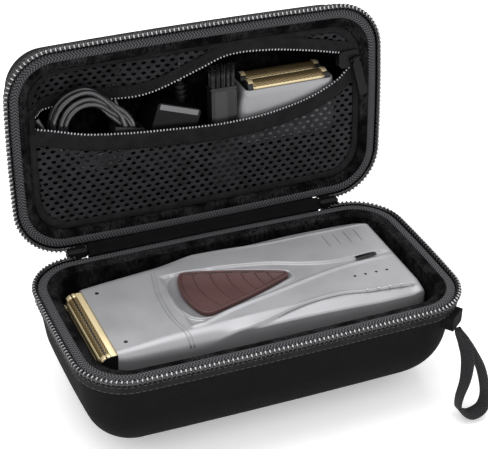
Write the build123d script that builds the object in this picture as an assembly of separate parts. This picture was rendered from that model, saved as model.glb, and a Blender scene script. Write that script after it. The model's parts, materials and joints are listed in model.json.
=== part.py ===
from build123d import *
import math
import os

os.makedirs("parts", exist_ok=True)

# ---------------------------------------------------------------- driving dimensions, mm
# Frame: the origin is the centre of the face that the base stands on. +X runs along the
# case's length, +Y towards the hinge and +Z up. The lid is built closed and then opened.
case_length = 176.0
case_width = 95.5
base_height = 50.0            # from the floor to the plane where lid and base meet
lid_height = 30.0             # from that plane to the lid's outer top, when closed
corner_radius = 23.0          # plan radius at the rim
corner_ease = 18.0            # how fast the plan radius shrinks down a wall
side_bow = 1.35               # how far the long sides bow outwards
end_bow = 1.5                 # how far the short ends bow outwards
lid_open_angle = 96.9         # degrees from closed to the position the part is stored in

shell_inset = 1.6             # moulded shell's outer face behind the line of the teeth
shell_wall = 3.6
base_draft = 9.0              # degrees
base_edge_radius = 32.0       # round between wall and floor
lid_draft = 12.0
lid_edge_radius = 14.8
lining_floor = 1.2            # lining over the shell's floor
rim_width = 10.5              # from the line of the teeth to the edge of the hollow
base_hollow_draft = 3.0
base_hollow_radius = 26.0
lid_hollow_draft = 4.0
lid_hollow_radius = 9.0

coil_radius = 1.1             # zip's moulded coil
coil_gap = 0.2                # half the space between the two coils when closed
tape_skin = 1.1               # zip tape and hinge strip, outside the shell
tape_drop = 4.6               # zip tape's width on the outside of the shell
band_lift = 1.2               # woven rim band stands this far above the shell's edge
spine_drop = 12.0             # hinge strip's width on each half
spine_length = 111.2
fold_radius = 0.9             # rolled fold that the lid turns on
fold_wall = 0.75
fold_clearance = 0.05

slider_length = 10.0          # main zip's two sliders, parked at the ends of the hinge strip
slider_size = 5.0
slider_chamfer = 1.2
slider_clearance = 0.3
pull_pin_radius = 0.6
pull_hole_clearance = 0.06
pull_eye_wall = 0.65
pull_eye_width = 2.4
pull_width = 5.5
pull_length = 23.0
pull_thickness = 1.0

strap_width = 9.0
strap_thickness = 1.4
strap_tab_width = 10.0
strap_tab_height = 7.0
strap_tab_thickness = 1.8
strap_turn = -52.0            # degrees, direction of the corner that carries the strap

pocket_depth = 3.4            # pocket zip's tape behind the plane of the rim
pocket_sheet = 0.8
pocket_tape_width = 6.5       # lower tape; the upper one is narrower
pocket_upper_width = 4.5
pocket_coil_radius = 0.75
pocket_half = case_length / 2 - rim_width - 0.5    # half of the pocket's length
chain_left = (-pocket_half, -13.5)                 # ends of the pocket's zip
chain_right = (pocket_half, -20.4)
stop_length = 2.4             # sewn bar across both tapes at the zip's left end
stop_width = 6.8
stop_height = 0.8
pocket_slider_length = 10.0
pocket_slider_width = 8.0
pocket_slider_plate = 0.8
pocket_slider_channel = 2.0
pocket_slider_back = 5.3      # slider's middle from the right end of the zip
pocket_post_width = 1.4
crown_radius = 0.45
crown_lift = 1.65             # crown bar's centre above the slider's face
pocket_pull_length = 19.0
pocket_pull_width = 4.0
pocket_pull_thickness = 0.9
pocket_pull_lean = 14.0       # degrees
crown_shift = 2.5             # crown bar from the slider's middle, towards the zip's end

seat_clearance = 0.3          # between the shaver and the foam bed under it

shaver_front = -66.0          # front end of the head cap
shaver_back = 74.0
shaver_middle_y = 3.6
shaver_half_width = 30.6
shaver_bottom = 11.2
shaver_top = 48.3
shaver_wall = 2.2
shaver_split = 29.0           # height of the joint between top and bottom housing
shaver_seam = -33.0           # joint between the head cap and the housings
head_axis_z = 34.4            # height of the motor's shaft and of the middle of the head
foil_length = 47.6
foil_radius = 4.1
foil_spacing = 9.8
foil_centre = 2.9             # centre of the foil's arch in front of the cap
foil_gap = 0.3
foil_leg = 4.2
foil_wall = 0.5
foil_end = 1.2
foil_travel = 1.5
well_depth = 12.0
frame_floor = 2.0
cutter_gap = 0.1
cutter_travel = 1.0
cutter_pitch = 2.0
cutter_slot = 0.9
prong_radius = 1.0
prong_gap = 0.08
pin_orbit = 1.0
switch_front = -28.5
switch_shoulder = -24.5
switch_tip = 24.2             # before the tip is rounded
switch_half_width = 16.7
switch_thickness = 1.8
switch_depth = 1.4            # recess that the switch slides in
switch_gap = 0.35
switch_travel = 3.5
motor_radius = 10.0
battery_radius = 9.1
board_thickness = 1.6

lead_diameter = 2.4
hank_near = 5.8               # depths of the hank's two faces
hank_far = 12.4
adapter_width = 20.8
adapter_length = 30.0
adapter_turn = 18.0           # degrees
adapter_near = 5.7
spare_width = 48.4
spare_thickness = 18.0
spare_length = 23.0
spare_tilt = 6.0              # degrees
spare_foil_length = 39.5
spare_foil_radius = 3.7
spare_spacing = 8.5
spare_foil_centre = 1.8
spare_foil_gap = 0.25
spare_place = (43.8, -10.0, 13.3)
brush_width = 12.0
brush_handle_length = 46.0
bristle_length = 12.0


# ---------------------------------------------------------------- plan outline and forms
side_arc = ((case_length / 2) ** 2 + side_bow ** 2) / (2 * side_bow)
end_arc = ((case_width / 2) ** 2 + end_bow ** 2) / (2 * end_bow)


def rim_wire(inset, corner=None):
    """Outline of the case in plan, moved inwards: bowed sides, bowed ends and round corners."""
    corner = corner_radius - inset if corner is None else corner
    half_x, half_y = case_length / 2 - inset, case_width / 2 - inset
    side_centre, end_centre = case_width / 2 - side_arc, case_length / 2 - end_arc
    side_r, end_r = side_arc - inset, end_arc - inset
    # the corner's centre lies where two circles cross
    reach_s, reach_e = side_r - corner, end_r - corner
    gap = math.hypot(end_centre, side_centre)
    along = (reach_s ** 2 - reach_e ** 2 + gap ** 2) / (2 * gap)
    across = math.sqrt(reach_s ** 2 - along ** 2)
    dx, dy = end_centre / gap, -side_centre / gap
    cx = along * dx + across * dy
    cy = side_centre + along * dy - across * dx
    to_side = math.atan2(cy - side_centre, cx)
    to_end = math.atan2(cy, cx - end_centre)
    sx, sy = side_r * math.cos(to_side), side_centre + side_r * math.sin(to_side)
    ex, ey = end_centre + end_r * math.cos(to_end), end_r * math.sin(to_end)
    turn = (to_side + to_end) / 2
    mx, my = cx + corner * math.cos(turn), cy + corner * math.sin(turn)
    edges = [
        ThreePointArc((ex, -ey), (half_x, 0), (ex, ey)),
        ThreePointArc((ex, ey), (mx, my), (sx, sy)),
        ThreePointArc((sx, sy), (0, half_y), (-sx, sy)),
        ThreePointArc((-sx, sy), (-mx, my), (-ex, ey)),
        ThreePointArc((-ex, ey), (-half_x, 0), (-ex, -ey)),
        ThreePointArc((-ex, -ey), (-mx, -my), (-sx, -sy)),
        ThreePointArc((-sx, -sy), (0, -half_y), (sx, -sy)),
        ThreePointArc((sx, -sy), (mx, -my), (ex, -ey)),
    ]
    return Wire(edges)


def rim_face(inset, corner=None):
    return Face(rim_wire(inset, corner))


def eased_corner(inset):
    """Plan radius of a wall that has moved inwards by inset."""
    return corner_radius / (1 + inset / corner_ease)


def above(side, depth):
    """Height of a depth below the base's rim (side 1) or above it inside the lid (side -1)."""
    return base_height - side * depth


def tub(side, height, draft, radius, inset):
    """Drafted tub with a round between its wall and its floor, open end at the rim plane."""
    tilt = math.radians(draft)
    round_start = height - radius + radius * math.sin(tilt)
    round_inset = inset + round_start * math.tan(tilt) + radius * math.cos(tilt)
    levels = [(0, inset)]
    steps = 5
    for step in range(steps + 1):
        turn = tilt + (math.pi / 2 - tilt) * step / steps
        levels.append((height - radius + radius * math.sin(turn),
                       round_inset - radius * math.cos(turn)))
    faces = [Pos(0, 0, above(side, depth)) * rim_face(step_in, eased_corner(step_in))
             for depth, step_in in levels]
    return loft(faces[:2], ruled=True) + loft(faces[1:])


def band(side, face, low, high):
    """Flat slab of a plan face between two depths."""
    bottom = min(above(side, low), above(side, high))
    return extrude(Pos(0, 0, bottom) * face, amount=abs(high - low))


def block(x0, x1, y0, y1, z0, z1):
    return (Pos((x0 + x1) / 2, (y0 + y1) / 2, (z0 + z1) / 2)
            * Box(abs(x1 - x0), abs(y1 - y0), abs(z1 - z0)))


def rod_x(radius, x0, x1, y, z):
    return Pos((x0 + x1) / 2, y, z) * Rot(0, 90, 0) * Cylinder(radius, x1 - x0)


def depth_block(side, low, high):
    """Everything between two depths, wider than the case."""
    z0, z1 = sorted((above(side, low), above(side, high)))
    return block(-case_length, case_length, -case_width, case_width, z0, z1)


hinge_y = case_width / 2
rim_top = coil_gap + 2 * coil_radius          # depth of the shell's edge
spine_half = spine_length / 2
slider_start = spine_half + slider_clearance
slider_end = slider_start + slider_length
coil_start = slider_end
notch_radius = slider_size / 2 * math.sqrt(2) - slider_chamfer / math.sqrt(2) + 0.5
shell_heights = {1: base_height, -1: lid_height}
shell_drafts = {1: base_draft, -1: lid_draft}
shell_rounds = {1: base_edge_radius, -1: lid_edge_radius}
hollow_drafts = {1: base_hollow_draft, -1: lid_hollow_draft}
hollow_rounds = {1: base_hollow_radius, -1: lid_hollow_radius}
hollow_depths = {side: shell_heights[side] - shell_wall - lining_floor for side in (1, -1)}


def slider_notches():
    """Space round the two parked sliders, on the hinge's axis."""
    space = Part()
    for sign in (-1, 1):
        x0, x1 = sorted((sign * (spine_half + 0.01), sign * (slider_end + 0.01)))
        space += rod_x(notch_radius, x0, x1, hinge_y, base_height)
    return space


def hinge_zone(half_length):
    return block(-half_length, half_length, hinge_y / 2, case_width, 0, 2 * base_height)


forms = {}
for side in (1, -1):
    height, draft, radius = shell_heights[side], shell_drafts[side], shell_rounds[side]
    slope = 1 / math.cos(math.radians(draft))
    forms[side] = {
        "outer": tub(side, height, draft, radius, shell_inset),
        "inner": tub(side, height - shell_wall, draft, radius - shell_wall,
                     shell_inset + shell_wall * slope),
        "skin": tub(side, height + tape_skin, draft, radius + tape_skin,
                    shell_inset - tape_skin * slope),
        "hollow": tub(side, hollow_depths[side], hollow_drafts[side], hollow_rounds[side],
                      rim_width),
    }


# ---------------------------------------------------------------- case halves
def shell(side):
    """Moulded foam shell with its cloth face."""
    form = forms[side]["outer"] - forms[side]["inner"]
    return (form & depth_block(side, rim_top, case_width)) - slider_notches()


def lining(side):
    """Padded lining between the shell and the hollow."""
    form = forms[side]["inner"] - forms[side]["hollow"]
    return form & depth_block(side, rim_top, case_width)


def rim_band(side):
    """Woven band over the edge, from the coil to the hollow."""
    ring = band(side, rim_face(coil_gap + 2 * coil_radius + 0.2), band_lift, rim_top)
    return ring - forms[side]["hollow"] - slider_notches()


def zip_tape(side):
    """Tape on the outside of the shell, under the coil."""
    ring = forms[side]["skin"] - forms[side]["outer"]
    ring = ring & depth_block(side, rim_top, rim_top + tape_drop)
    return ring - hinge_zone(spine_half) - slider_notches()


def zip_coil(side):
    """Coil's outer shape along the rim, from one parked slider to the other."""
    path = Pos(0, 0, above(side, coil_gap + coil_radius)) * rim_wire(coil_gap + coil_radius)
    edge = path.edges()[0]
    start = Plane(origin=edge @ 0, z_dir=edge % 0)
    ring = sweep(start * Circle(coil_radius), path=path)
    gap = 0 if side == 1 else slider_clearance
    return ring - hinge_zone(coil_start + gap)


def spine(side):
    """Half of the hinge strip: the cloth that crosses from base to lid."""
    cloth = forms[side]["skin"] - forms[side]["outer"]
    cloth = cloth & depth_block(side, rim_top, rim_top + spine_drop)
    outer_edge = rim_face(shell_inset - tape_skin)
    edge = band(side, outer_edge - rim_face(rim_top), band_lift, rim_top)
    edge += band(side, outer_edge - rim_face(shell_inset), band_lift, rim_top + 0.5)
    cloth = (cloth + edge) & hinge_zone(spine_half)
    outer_fold = fold_radius + fold_clearance + fold_wall
    if side == 1:
        neck = block(-spine_half, spine_half, hinge_y - 1.6, hinge_y - 0.3,
                     base_height - 2.2, base_height - 0.5)
        return cloth + neck + rod_x(fold_radius, -spine_half, spine_half, hinge_y, base_height)
    sleeve = rod_x(outer_fold, -spine_half, spine_half, hinge_y, base_height)
    sector = Plane((0, hinge_y, base_height), x_dir=(0, 1, 0), z_dir=(1, 0, 0))
    wedge = sector * make_face(Polyline((0, 0), (1.8, 2.4), (-1.0, 3.6), (-3.6, 0.9), (0, 0)))
    wedge = extrude(wedge, amount=spine_half, both=True)
    link = block(-spine_half, spine_half, hinge_y - 2.2, hinge_y - 1.0,
                 base_height + 0.6, base_height + 1.6)
    bore = rod_x(fold_radius + fold_clearance, -spine_half, spine_half, hinge_y, base_height)
    return (sleeve & wedge) + (cloth + link) - bore


def open_lid(shape):
    """Turn a piece from the closed lid to the stored, open position."""
    return (Pos(0, hinge_y, base_height) * Rot(-lid_open_angle, 0, 0)
            * Pos(0, -hinge_y, -base_height) * shape)


# ---------------------------------------------------------------- main zip's sliders and pulls
pin_y = hinge_y + 1.5
pin_z = base_height - 4.7


def main_sliders():
    """Two sliders parked at the hinge, each with ears and a pin for its pull."""
    group = Part()
    for sign in (-1, 1):
        middle = sign * (slider_start + slider_length / 2 - slider_clearance / 2)
        body = Pos(middle, hinge_y, base_height) * chamfer(
            Box(slider_length - slider_clearance, slider_size, slider_size).edges(),
            slider_chamfer)
        for ear in (-1, 1):
            x = middle + ear * (pull_eye_width / 2 + 0.7)
            body += block(x - 0.45, x + 0.45, hinge_y + 0.6, hinge_y + 2.4,
                          pin_z - 0.9, base_height - 2.2)
        reach = pull_eye_width / 2 + 1.1
        body += rod_x(pull_pin_radius, middle - reach, middle + reach, pin_y, pin_z)
        group += body
    return group


def main_pull(sign):
    """Pull tab that hangs from a parked slider."""
    middle = sign * (slider_start + slider_length / 2 - slider_clearance / 2)
    hole = pull_pin_radius + pull_hole_clearance
    half = pull_eye_width / 2
    eye = rod_x(hole + pull_eye_wall, middle - half, middle + half, pin_y, pin_z)
    half_thick = pull_thickness / 2
    neck = block(middle - half, middle + half, pin_y - half_thick, pin_y + half_thick,
                 pin_z - 3, pin_z)
    plate = Pos(middle, pin_y, pin_z - 2 - pull_length / 2) * Rot(90, 0, 0) * extrude(
        RectangleRounded(pull_width, pull_length, 1.6), amount=half_thick, both=True)
    slot = Pos(middle, pin_y, pin_z - 2 - pull_length * 0.7) * Rot(90, 0, 0) * extrude(
        Rot(0, 0, 90) * SlotOverall(8, 2.4), amount=half_thick, both=True)
    return eye + neck + plate - slot - rod_x(hole, middle - half - 1, middle + half + 1,
                                             pin_y, pin_z)


# ---------------------------------------------------------------- wrist strap
corner_plane_point = (case_length / 2 - corner_radius, -case_width / 2 + corner_radius)
strap_out = (math.cos(math.radians(strap_turn)), math.sin(math.radians(strap_turn)))


def strap_frame(distance, z):
    """Plane on the corner that carries the strap: x along the wall, y up, z outwards."""
    reach = corner_radius - distance
    return Plane((corner_plane_point[0] + reach * strap_out[0],
                  corner_plane_point[1] + reach * strap_out[1], z),
                 x_dir=(-strap_out[1], strap_out[0], 0), z_dir=(strap_out[0], strap_out[1], 0))


def strap_tab():
    """Folded webbing sewn to the corner under the zip tape."""
    top = base_height - rim_top - tape_drop
    wall = strap_frame(shell_inset + 6, top - strap_tab_height / 2)
    patch = extrude(wall * RectangleRounded(strap_tab_width, strap_tab_height, 1),
                    amount=strap_tab_thickness + 6)
    return patch - forms[1]["outer"] - (forms[1]["skin"] & depth_block(1, 0, rim_top + tape_drop))


strap_normal_lean = 29.0      # degrees between the strap's width and the level
strap_reach = 37.8            # from the sewn end to the bottom of the loop
strap_root_gap = 1.2          # from the tab's edge down to the line that the strap swings on
strap_root_z = base_height - rim_top - tape_drop - strap_tab_height - strap_root_gap
strap_bulge = 7.0
strap_neck = 1.4              # strap's width where its folded ends go under the tab


def strap_plane():
    """Plane of the strap's loop: x along the case, y up and inwards."""
    lean = math.radians(strap_normal_lean)
    spot = strap_frame(-0.9, strap_root_z).origin
    return Plane(spot, x_dir=(1, 0, 0), z_dir=(0, -math.cos(lean), math.sin(lean)))


def wrist_strap():
    """Loop of flat webbing, its two ends sewn together under the tab."""
    outer = make_face(Spline(
        (1.5, 0), (5.4, -7), (strap_bulge + 4.0, -17), (strap_bulge + 4.8, -27),
        (5.4, 2.6 - strap_reach), (-1.0, -strap_reach), (-6.2, 3.4 - strap_reach),
        (-5.2, -29), (-1.0, -22), (1.6, -14), (0.3, -6), (-1.5, 0), (0, 0.4), (1.5, 0)))
    inner = make_face(Spline(
        (5.4, -13), (strap_bulge + 2.6, -20), (strap_bulge + 3.2, -28),
        (4.4, 3.9 - strap_reach), (-1.0, 1.4 - strap_reach), (-4.6, 4.6 - strap_reach),
        (-3.8, -29.5), (0.6, -22), (3.2, -13.5), (4.2, -11.6), (5.4, -13)))
    loop = extrude(outer - inner, amount=strap_width / 2, both=True)
    half, neck = strap_width / 2, strap_neck / 2
    taper = make_face(Polyline((-neck, 1), (neck, 1), (neck, -0.8), (half + 0.1, -6.5),
                               (half + 0.1, -strap_reach - 1), (-half - 0.1, -strap_reach - 1),
                               (-half - 0.1, -6.5), (-neck, -0.8), (-neck, 1)))
    side_view = Plane((0, 0, 0), x_dir=(0, 0, 1), z_dir=(-1, 0, 0))
    return strap_plane() * (loop & extrude(side_view * taper, amount=case_width, both=True))


# ---------------------------------------------------------------- lid's pocket
# Across the lid, from one end of the zip to the other: place along the case, upper tape's
# edge and its depth, lower tape's edge. The upper tape dips behind the coiled lead.
mouth_drawn = 77.0            # half length of the pocket that the table is drawn for
mouth = [(x * pocket_half / mouth_drawn, upper, depth, lower) for x, upper, depth, lower in (
    (-77.0, -14.4, 3.4, -12.6),
    (-72.5, -15.2, 8.4, -11.2),
    (-68.0, -16.0, 13.2, -10.0),
    (-53.0, -16.4, 14.2, -5.6),
    (-37.0, -15.4, 14.0, -3.1),
    (-27.0, -16.0, 10.7, -2.0),
    (-17.0, -18.0, 9.2, -1.2),
    (0.0, -25.2, 6.0, 0.2),
    (14.0, -30.4, 4.6, 0.6),
    (32.0, -30.3, 3.6, -0.4),
    (52.0, -27.0, 3.4, -4.4),
    (66.0, -23.8, 3.4, -10.4),
    (72.0, -22.4, 3.4, -15.4),
    (77.0, -21.3, 3.4, -19.5),
)]


def sheet(rows, thickness):
    """Curved sheet through rows of (x, y and depth of one edge, y and depth of the other)."""
    half = thickness / 2
    faces = []
    for x, y0, depth_0, y1, depth_1 in rows:
        run = math.hypot(y1 - y0, depth_1 - depth_0)
        ny, nz = -(depth_1 - depth_0) / run * half, (y1 - y0) / run * half
        z0, z1 = base_height + depth_0, base_height + depth_1
        corners = [(x, y0 - ny, z0 - nz), (x, y0 + ny, z0 + nz),
                   (x, y1 + ny, z1 + nz), (x, y1 - ny, z1 - nz)]
        faces.append(Face(Wire([Line(corners[n], corners[(n + 1) % 4]) for n in range(4)])))
    return loft(faces)


def bead(rows, radius):
    """Round bead along points (x, y, depth)."""
    return loft([Plane((x, y, base_height + depth), z_dir=(1, 0, 0)) * Circle(radius)
                 for x, y, depth in rows])


def stop_block(y0, y1, near, far):
    """Part of the zip's left end that the sewn stop covers, between two depths."""
    start = chain_left[0] + 0.2
    return block(start - 1, start + stop_length, y0, y1, base_height + near,
                 base_height + far)


def pocket_upper_tape():
    rows = [(x, y, d, y - pocket_upper_width, d) for x, y, d, _ in mouth]
    return (sheet(rows, pocket_sheet) & forms[-1]["hollow"]) - pocket_upper_coil()


def pocket_lower_tape():
    step = pocket_tape_width
    rows = [(x, y, pocket_depth, y + step, pocket_depth) for x, _, _, y in mouth]
    return (sheet(rows, pocket_sheet) & forms[-1]["hollow"]) - pocket_lower_coil()


def pocket_coil(rows):
    """Coil along one tape, from the sewn stop to the zip's other end."""
    stop_space = stop_block(-case_width / 2, case_width / 2, 0, lid_height)
    return (bead(rows, pocket_coil_radius) & forms[-1]["hollow"]) - stop_space


def pocket_upper_coil():
    return pocket_coil([(x, y, d) for x, y, d, _ in mouth])


def pocket_lower_coil():
    return pocket_coil([(x, y, pocket_depth) for x, _, _, y in mouth])


def pocket_upper_panel():
    """Mesh from the upper tape to the lid's front wall."""
    rows = [(x, y - pocket_upper_width, d, -case_width / 2,
             pocket_depth + 0.6 + 0.35 * (d - pocket_depth)) for x, y, d, _ in mouth]
    return (sheet(rows, pocket_sheet) & forms[-1]["hollow"]) - pocket_upper_tape()


def pocket_lower_panel():
    """Mesh from the lower tape to the hinge side."""
    step = pocket_tape_width
    rows = [(x, y + step, pocket_depth, case_width / 2, pocket_depth) for x, _, _, y in mouth]
    return (sheet(rows, pocket_sheet) & forms[-1]["hollow"]) - pocket_lower_tape()


chain_turn = math.degrees(math.atan2(chain_left[1] - chain_right[1],
                                     chain_left[0] - chain_right[0]))
slider_spot = (chain_right[0] + pocket_slider_back * math.cos(math.radians(chain_turn)),
               chain_right[1] + pocket_slider_back * math.sin(math.radians(chain_turn)))
# x along the zip towards its open side, z out of the pocket
slider_plane = Plane((slider_spot[0], slider_spot[1], base_height + pocket_depth),
                     x_dir=(math.cos(math.radians(chain_turn)),
                            math.sin(math.radians(chain_turn)), 0), z_dir=(0, 0, -1))
crown_level = pocket_slider_channel / 2 + pocket_slider_plate + crown_lift - crown_radius
crown_plane = Plane(slider_plane.from_local_coords((-crown_shift, 0, crown_level)),
                    x_dir=(math.cos(math.radians(pocket_pull_lean)),
                           -math.sin(math.radians(pocket_pull_lean)), 0), z_dir=(0, 0, -1))


def pocket_slider():
    """Slider of the pocket's zip: two plates, the post between them and a crown bar."""
    half_channel = pocket_slider_channel / 2
    plate = RectangleRounded(pocket_slider_length, pocket_slider_width, 2.2)
    outer = Pos(0, 0, half_channel) * extrude(plate, amount=pocket_slider_plate)
    inner = Pos(0, 0, -half_channel) * extrude(plate, amount=-pocket_slider_plate)
    post = Pos(pocket_slider_length / 2 - 1.6, 0, 0) * Box(
        2, pocket_post_width, pocket_slider_channel)
    body = slider_plane * (outer + inner + post)
    bar = crown_plane * (Rot(0, 90, 0) * Cylinder(crown_radius, 5))
    base_level = crown_lift - crown_radius
    for sign in (-1, 1):
        body += crown_plane * (Pos(sign * 2.2, 0, -base_level / 2)
                               * Box(0.8, 0.9, base_level + crown_radius))
    return body + bar


def pocket_pull():
    """Flat pull tab of the pocket's zip, hanging across the chain."""
    hole = crown_radius + pull_hole_clearance
    eye = Rot(0, 90, 0) * Cylinder(hole + 0.4, 2.6)
    half = pocket_pull_thickness / 2
    plate = Pos(0, -pocket_pull_length / 2, 0) * extrude(
        RectangleRounded(pocket_pull_width, pocket_pull_length - 2, 1.2), amount=half, both=True)
    neck = Pos(0, -1.2, 0) * Box(2.6, 2.4, pocket_pull_thickness)
    pull = eye + neck + plate - Rot(0, 90, 0) * Cylinder(hole, 6)
    return crown_plane * pull


def pocket_stop():
    """Sewn bar that holds both tapes together at the zip's left end."""
    top = pocket_depth - pocket_sheet / 2 - 0.02
    x0 = chain_left[0] + 0.2
    y0 = chain_left[1] - stop_width / 2
    return block(x0, x0 + stop_length, y0, y0 + stop_width, base_height + top - stop_height,
                 base_height + top)


# ---------------------------------------------------------------- foil heads
def arch(length, radius, centre, low):
    """Round-topped bar. x along it, y out of the head, from low to the top of its arch."""
    rod = Pos(0, centre, 0) * Rot(0, 90, 0) * Cylinder(radius, length)
    return rod + block(-length / 2, length / 2, low, centre, -radius, radius)


def foil(length, radius, centre, shift):
    """Foil bent over its cutter, with closed ends."""
    whole = arch(length, radius, centre, -foil_leg)
    space = arch(length - 2 * foil_end, radius - foil_wall, centre, -foil_leg - 1)
    return Pos(0, 0, shift) * (whole - space)


def foil_frame(length, radius, spacing, gap, depth, slot):
    """Floor of the head's well with the bar that parts the two foils."""
    half_x, half_z = length / 2 + 0.4, spacing / 2 + radius
    web = spacing / 2 - radius - gap
    floor = block(-half_x, half_x, -depth, frame_floor - depth, -half_z, half_z)
    bar = block(1 - half_x, half_x - 1, -depth, radius * 0.35, -web, web)
    body = floor + bar
    for sign in (-1, 1):
        body -= block(-slot, slot, -depth - 1, frame_floor - depth + 1,
                      sign * spacing / 2 - prong_radius - 0.6,
                      sign * spacing / 2 + prong_radius + 0.6)
    return body


def head_well(length, radius, spacing, gap, depth):
    """Space in a cap for two foils and their frame."""
    front = Plane((0, 1, 0), x_dir=(1, 0, 0), z_dir=(0, -1, 0))
    mouth_face = RectangleRounded(length + 2 * 0.7, spacing + 2 * (radius + gap), 1)
    return extrude(front * mouth_face, amount=depth + 1)


# ---------------------------------------------------------------- shaver
# Along the shaver, from front to back: place along the case, and how much narrower, higher
# underneath and lower on top the hull is there, then its top and bottom corner radius.
hull_rows = [
    (shaver_front, 4.8, 12.8, 3.5, 3.4, 3.4),
    (shaver_front + 5, 3.8, 10.8, 3.1, 4.5, 5.0),
    (shaver_front + 19, 2.6, 5.4, 1.9, 6.0, 11.0),
    (shaver_seam, 1.6, 1.9, 1.0, 7.0, 16.0),
    (-5.0, 0.8, 0.8, 0.1, 7.0, 17.5),
    (35.0, 0.2, 0.8, 0.1, 7.0, 17.5),
    (shaver_back - 12, 0.0, 1.8, 0.6, 7.0, 17.0),
    (shaver_back - 4, 2.2, 6.0, 1.4, 7.0, 14.0),
    (shaver_back, 7.6, 15.4, 3.8, 6.0, 10.0),
]


def hull(inset=0.0):
    """Shaver's outer form, or the same form moved inwards."""
    sections = []
    for x, narrow, rise, drop, top_radius, low_radius in hull_rows:
        half = shaver_half_width - narrow - inset
        low, high = shaver_bottom + rise + inset, shaver_top - drop - inset
        outline = Rectangle(2 * half, high - low)
        corners = outline.vertices().sort_by(Axis.Y)
        outline = fillet(corners[:2], max(low_radius - inset, 0.8))
        corners = outline.vertices().sort_by(Axis.Y)[-2:]
        outline = fillet(corners, max(top_radius - inset, 0.8))
        plane = Plane((x, shaver_middle_y, (low + high) / 2), x_dir=(0, 1, 0), z_dir=(1, 0, 0))
        sections.append(plane * outline)
    return loft(sections)


shaver_outer = hull()
shaver_inner = hull(shaver_wall) & block(
    shaver_front + well_depth, shaver_back - shaver_wall, -case_width, case_width, 0, case_width)
# x along the foils, y out of the head, z up
head_plane = Plane((shaver_front, shaver_middle_y, head_axis_z), x_dir=(0, 1, 0),
                   z_dir=(0, 0, 1))


def span_x(x0, x1, z0=0.0, z1=case_width):
    return block(x0, x1, -case_width, case_width, z0, z1)


screw_spots = [(shaver_front + 5.5, shaver_middle_y + sign * 18.3) for sign in (-1, 1)]
screw_radius = 0.9


def cap_screws():
    """Two screws that hold the foil frame in the cap."""
    group = Part()
    top = shaver_top - 3.25
    for x, y in screw_spots:
        group += Pos(x, y, top - 0.6) * Cylinder(screw_radius, 1.2)
    return group


def head_cap():
    """Cap with the head's well in its front."""
    cap = (shaver_outer & span_x(shaver_front - 1, shaver_seam)) - shaver_inner
    cap -= head_plane * head_well(foil_length, foil_radius, foil_spacing, foil_gap, well_depth)
    for x, y in screw_spots:
        cap -= Pos(x, y, shaver_top) * Cylinder(screw_radius, 12)
    return cap


def cutter(shift):
    """Comb of blades under a foil, on a bar with a socket for the drive's prong."""
    radius = foil_radius - foil_wall - cutter_gap
    half = (foil_length - 2 * foil_end) / 2 - cutter_travel - 0.35
    comb = Pos(0, foil_centre, 0) * Rot(0, 90, 0) * Cylinder(radius, 2 * half)
    comb = comb & block(-half, half, foil_centre - 0.6, foil_centre + radius, -radius, radius)
    count = int((2 * half - 1) / cutter_pitch)
    slots = Part()
    for number in range(count):
        x = (number - (count - 1) / 2) * cutter_pitch
        slots += block(x - cutter_slot / 2, x + cutter_slot / 2, foil_centre + 0.9,
                       foil_centre + radius + 1, -radius - 1, radius + 1)
    bar = block(-half, half, -foil_leg + 0.6, foil_centre, -2.2, 2.2)
    socket = Pos(0, -1.4, 0) * Rot(90, 0, 0) * Cylinder(prong_radius + prong_gap, 5.8)
    return Pos(0, 0, shift) * (comb - slots + bar - socket)


def oscillator():
    """Carriage that drives both cutters, with a fork round the motor's eccentric pin."""
    back = -well_depth - 5.2
    body = block(-5, 5, back, -well_depth - 1.0, -foil_spacing / 2 - 2, foil_spacing / 2 + 2)
    for sign in (-1, 1):
        body += Pos(0, (back - 0.4) / 2, sign * foil_spacing / 2) * Rot(90, 0, 0) * Cylinder(
            prong_radius, -back - 0.4)
        arm = pin_orbit + cutter_travel + 1.1
        body += block(sign * arm, sign * (arm + 1.6), back - 5, back + 1, -3, 3)
    return head_plane * body


motor_front = shaver_seam + 3
motor_length = 24.0


def motor_body():
    """Motor's can, with a bore for its shaft."""
    can = rod_x(motor_radius, motor_front, motor_front + motor_length, shaver_middle_y,
                head_axis_z)
    return can - rod_x(1.2, motor_front - 1, motor_front + 6, shaver_middle_y, head_axis_z)


def motor_rotor():
    """Shaft, eccentric weight and drive pin."""
    shaft = rod_x(1.15, motor_front - 4, motor_front + 5.5, shaver_middle_y, head_axis_z)
    weight = rod_x(3.2, motor_front - 5, motor_front - 1, shaver_middle_y, head_axis_z)
    pin = rod_x(0.75, shaver_front + well_depth + 6.2, motor_front - 4,
                shaver_middle_y + pin_orbit, head_axis_z)
    return shaft + weight + pin


battery_start = motor_front + motor_length + 1.5
battery_length = 64.0
battery_z = shaver_bottom + shaver_wall + 1.5 + battery_radius
board_z = shaver_top - shaver_wall - 6.1


def battery():
    return rod_x(battery_radius, battery_start, battery_start + battery_length,
                 shaver_middle_y, battery_z)


def circuit_board():
    return block(battery_start + 1, battery_start + battery_length + 3,
                 shaver_middle_y - 19, shaver_middle_y + 19, board_z, board_z + board_thickness)


def bottom_housing():
    """Lower half of the grip, with cradles for the motor and the battery."""
    half = shaver_outer & span_x(shaver_seam, shaver_back + 1, 0, shaver_split)
    ribs = Part()
    for x in (motor_front + 4, motor_front + motor_length - 6):
        ribs += block(x, x + 2, shaver_middle_y - 12, shaver_middle_y + 12,
                      shaver_bottom + 1, head_axis_z - 5)
    for x in (battery_start + 8, battery_start + 30, battery_start + 54):
        ribs += block(x, x + 2, shaver_middle_y - 10, shaver_middle_y + 10,
                      shaver_bottom + 1, battery_z)
    ribs = ribs & shaver_outer
    return (half - shaver_inner) + ribs - motor_body() - battery()


switch_z = shaver_top - switch_depth
stem_x = 4.0


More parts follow.
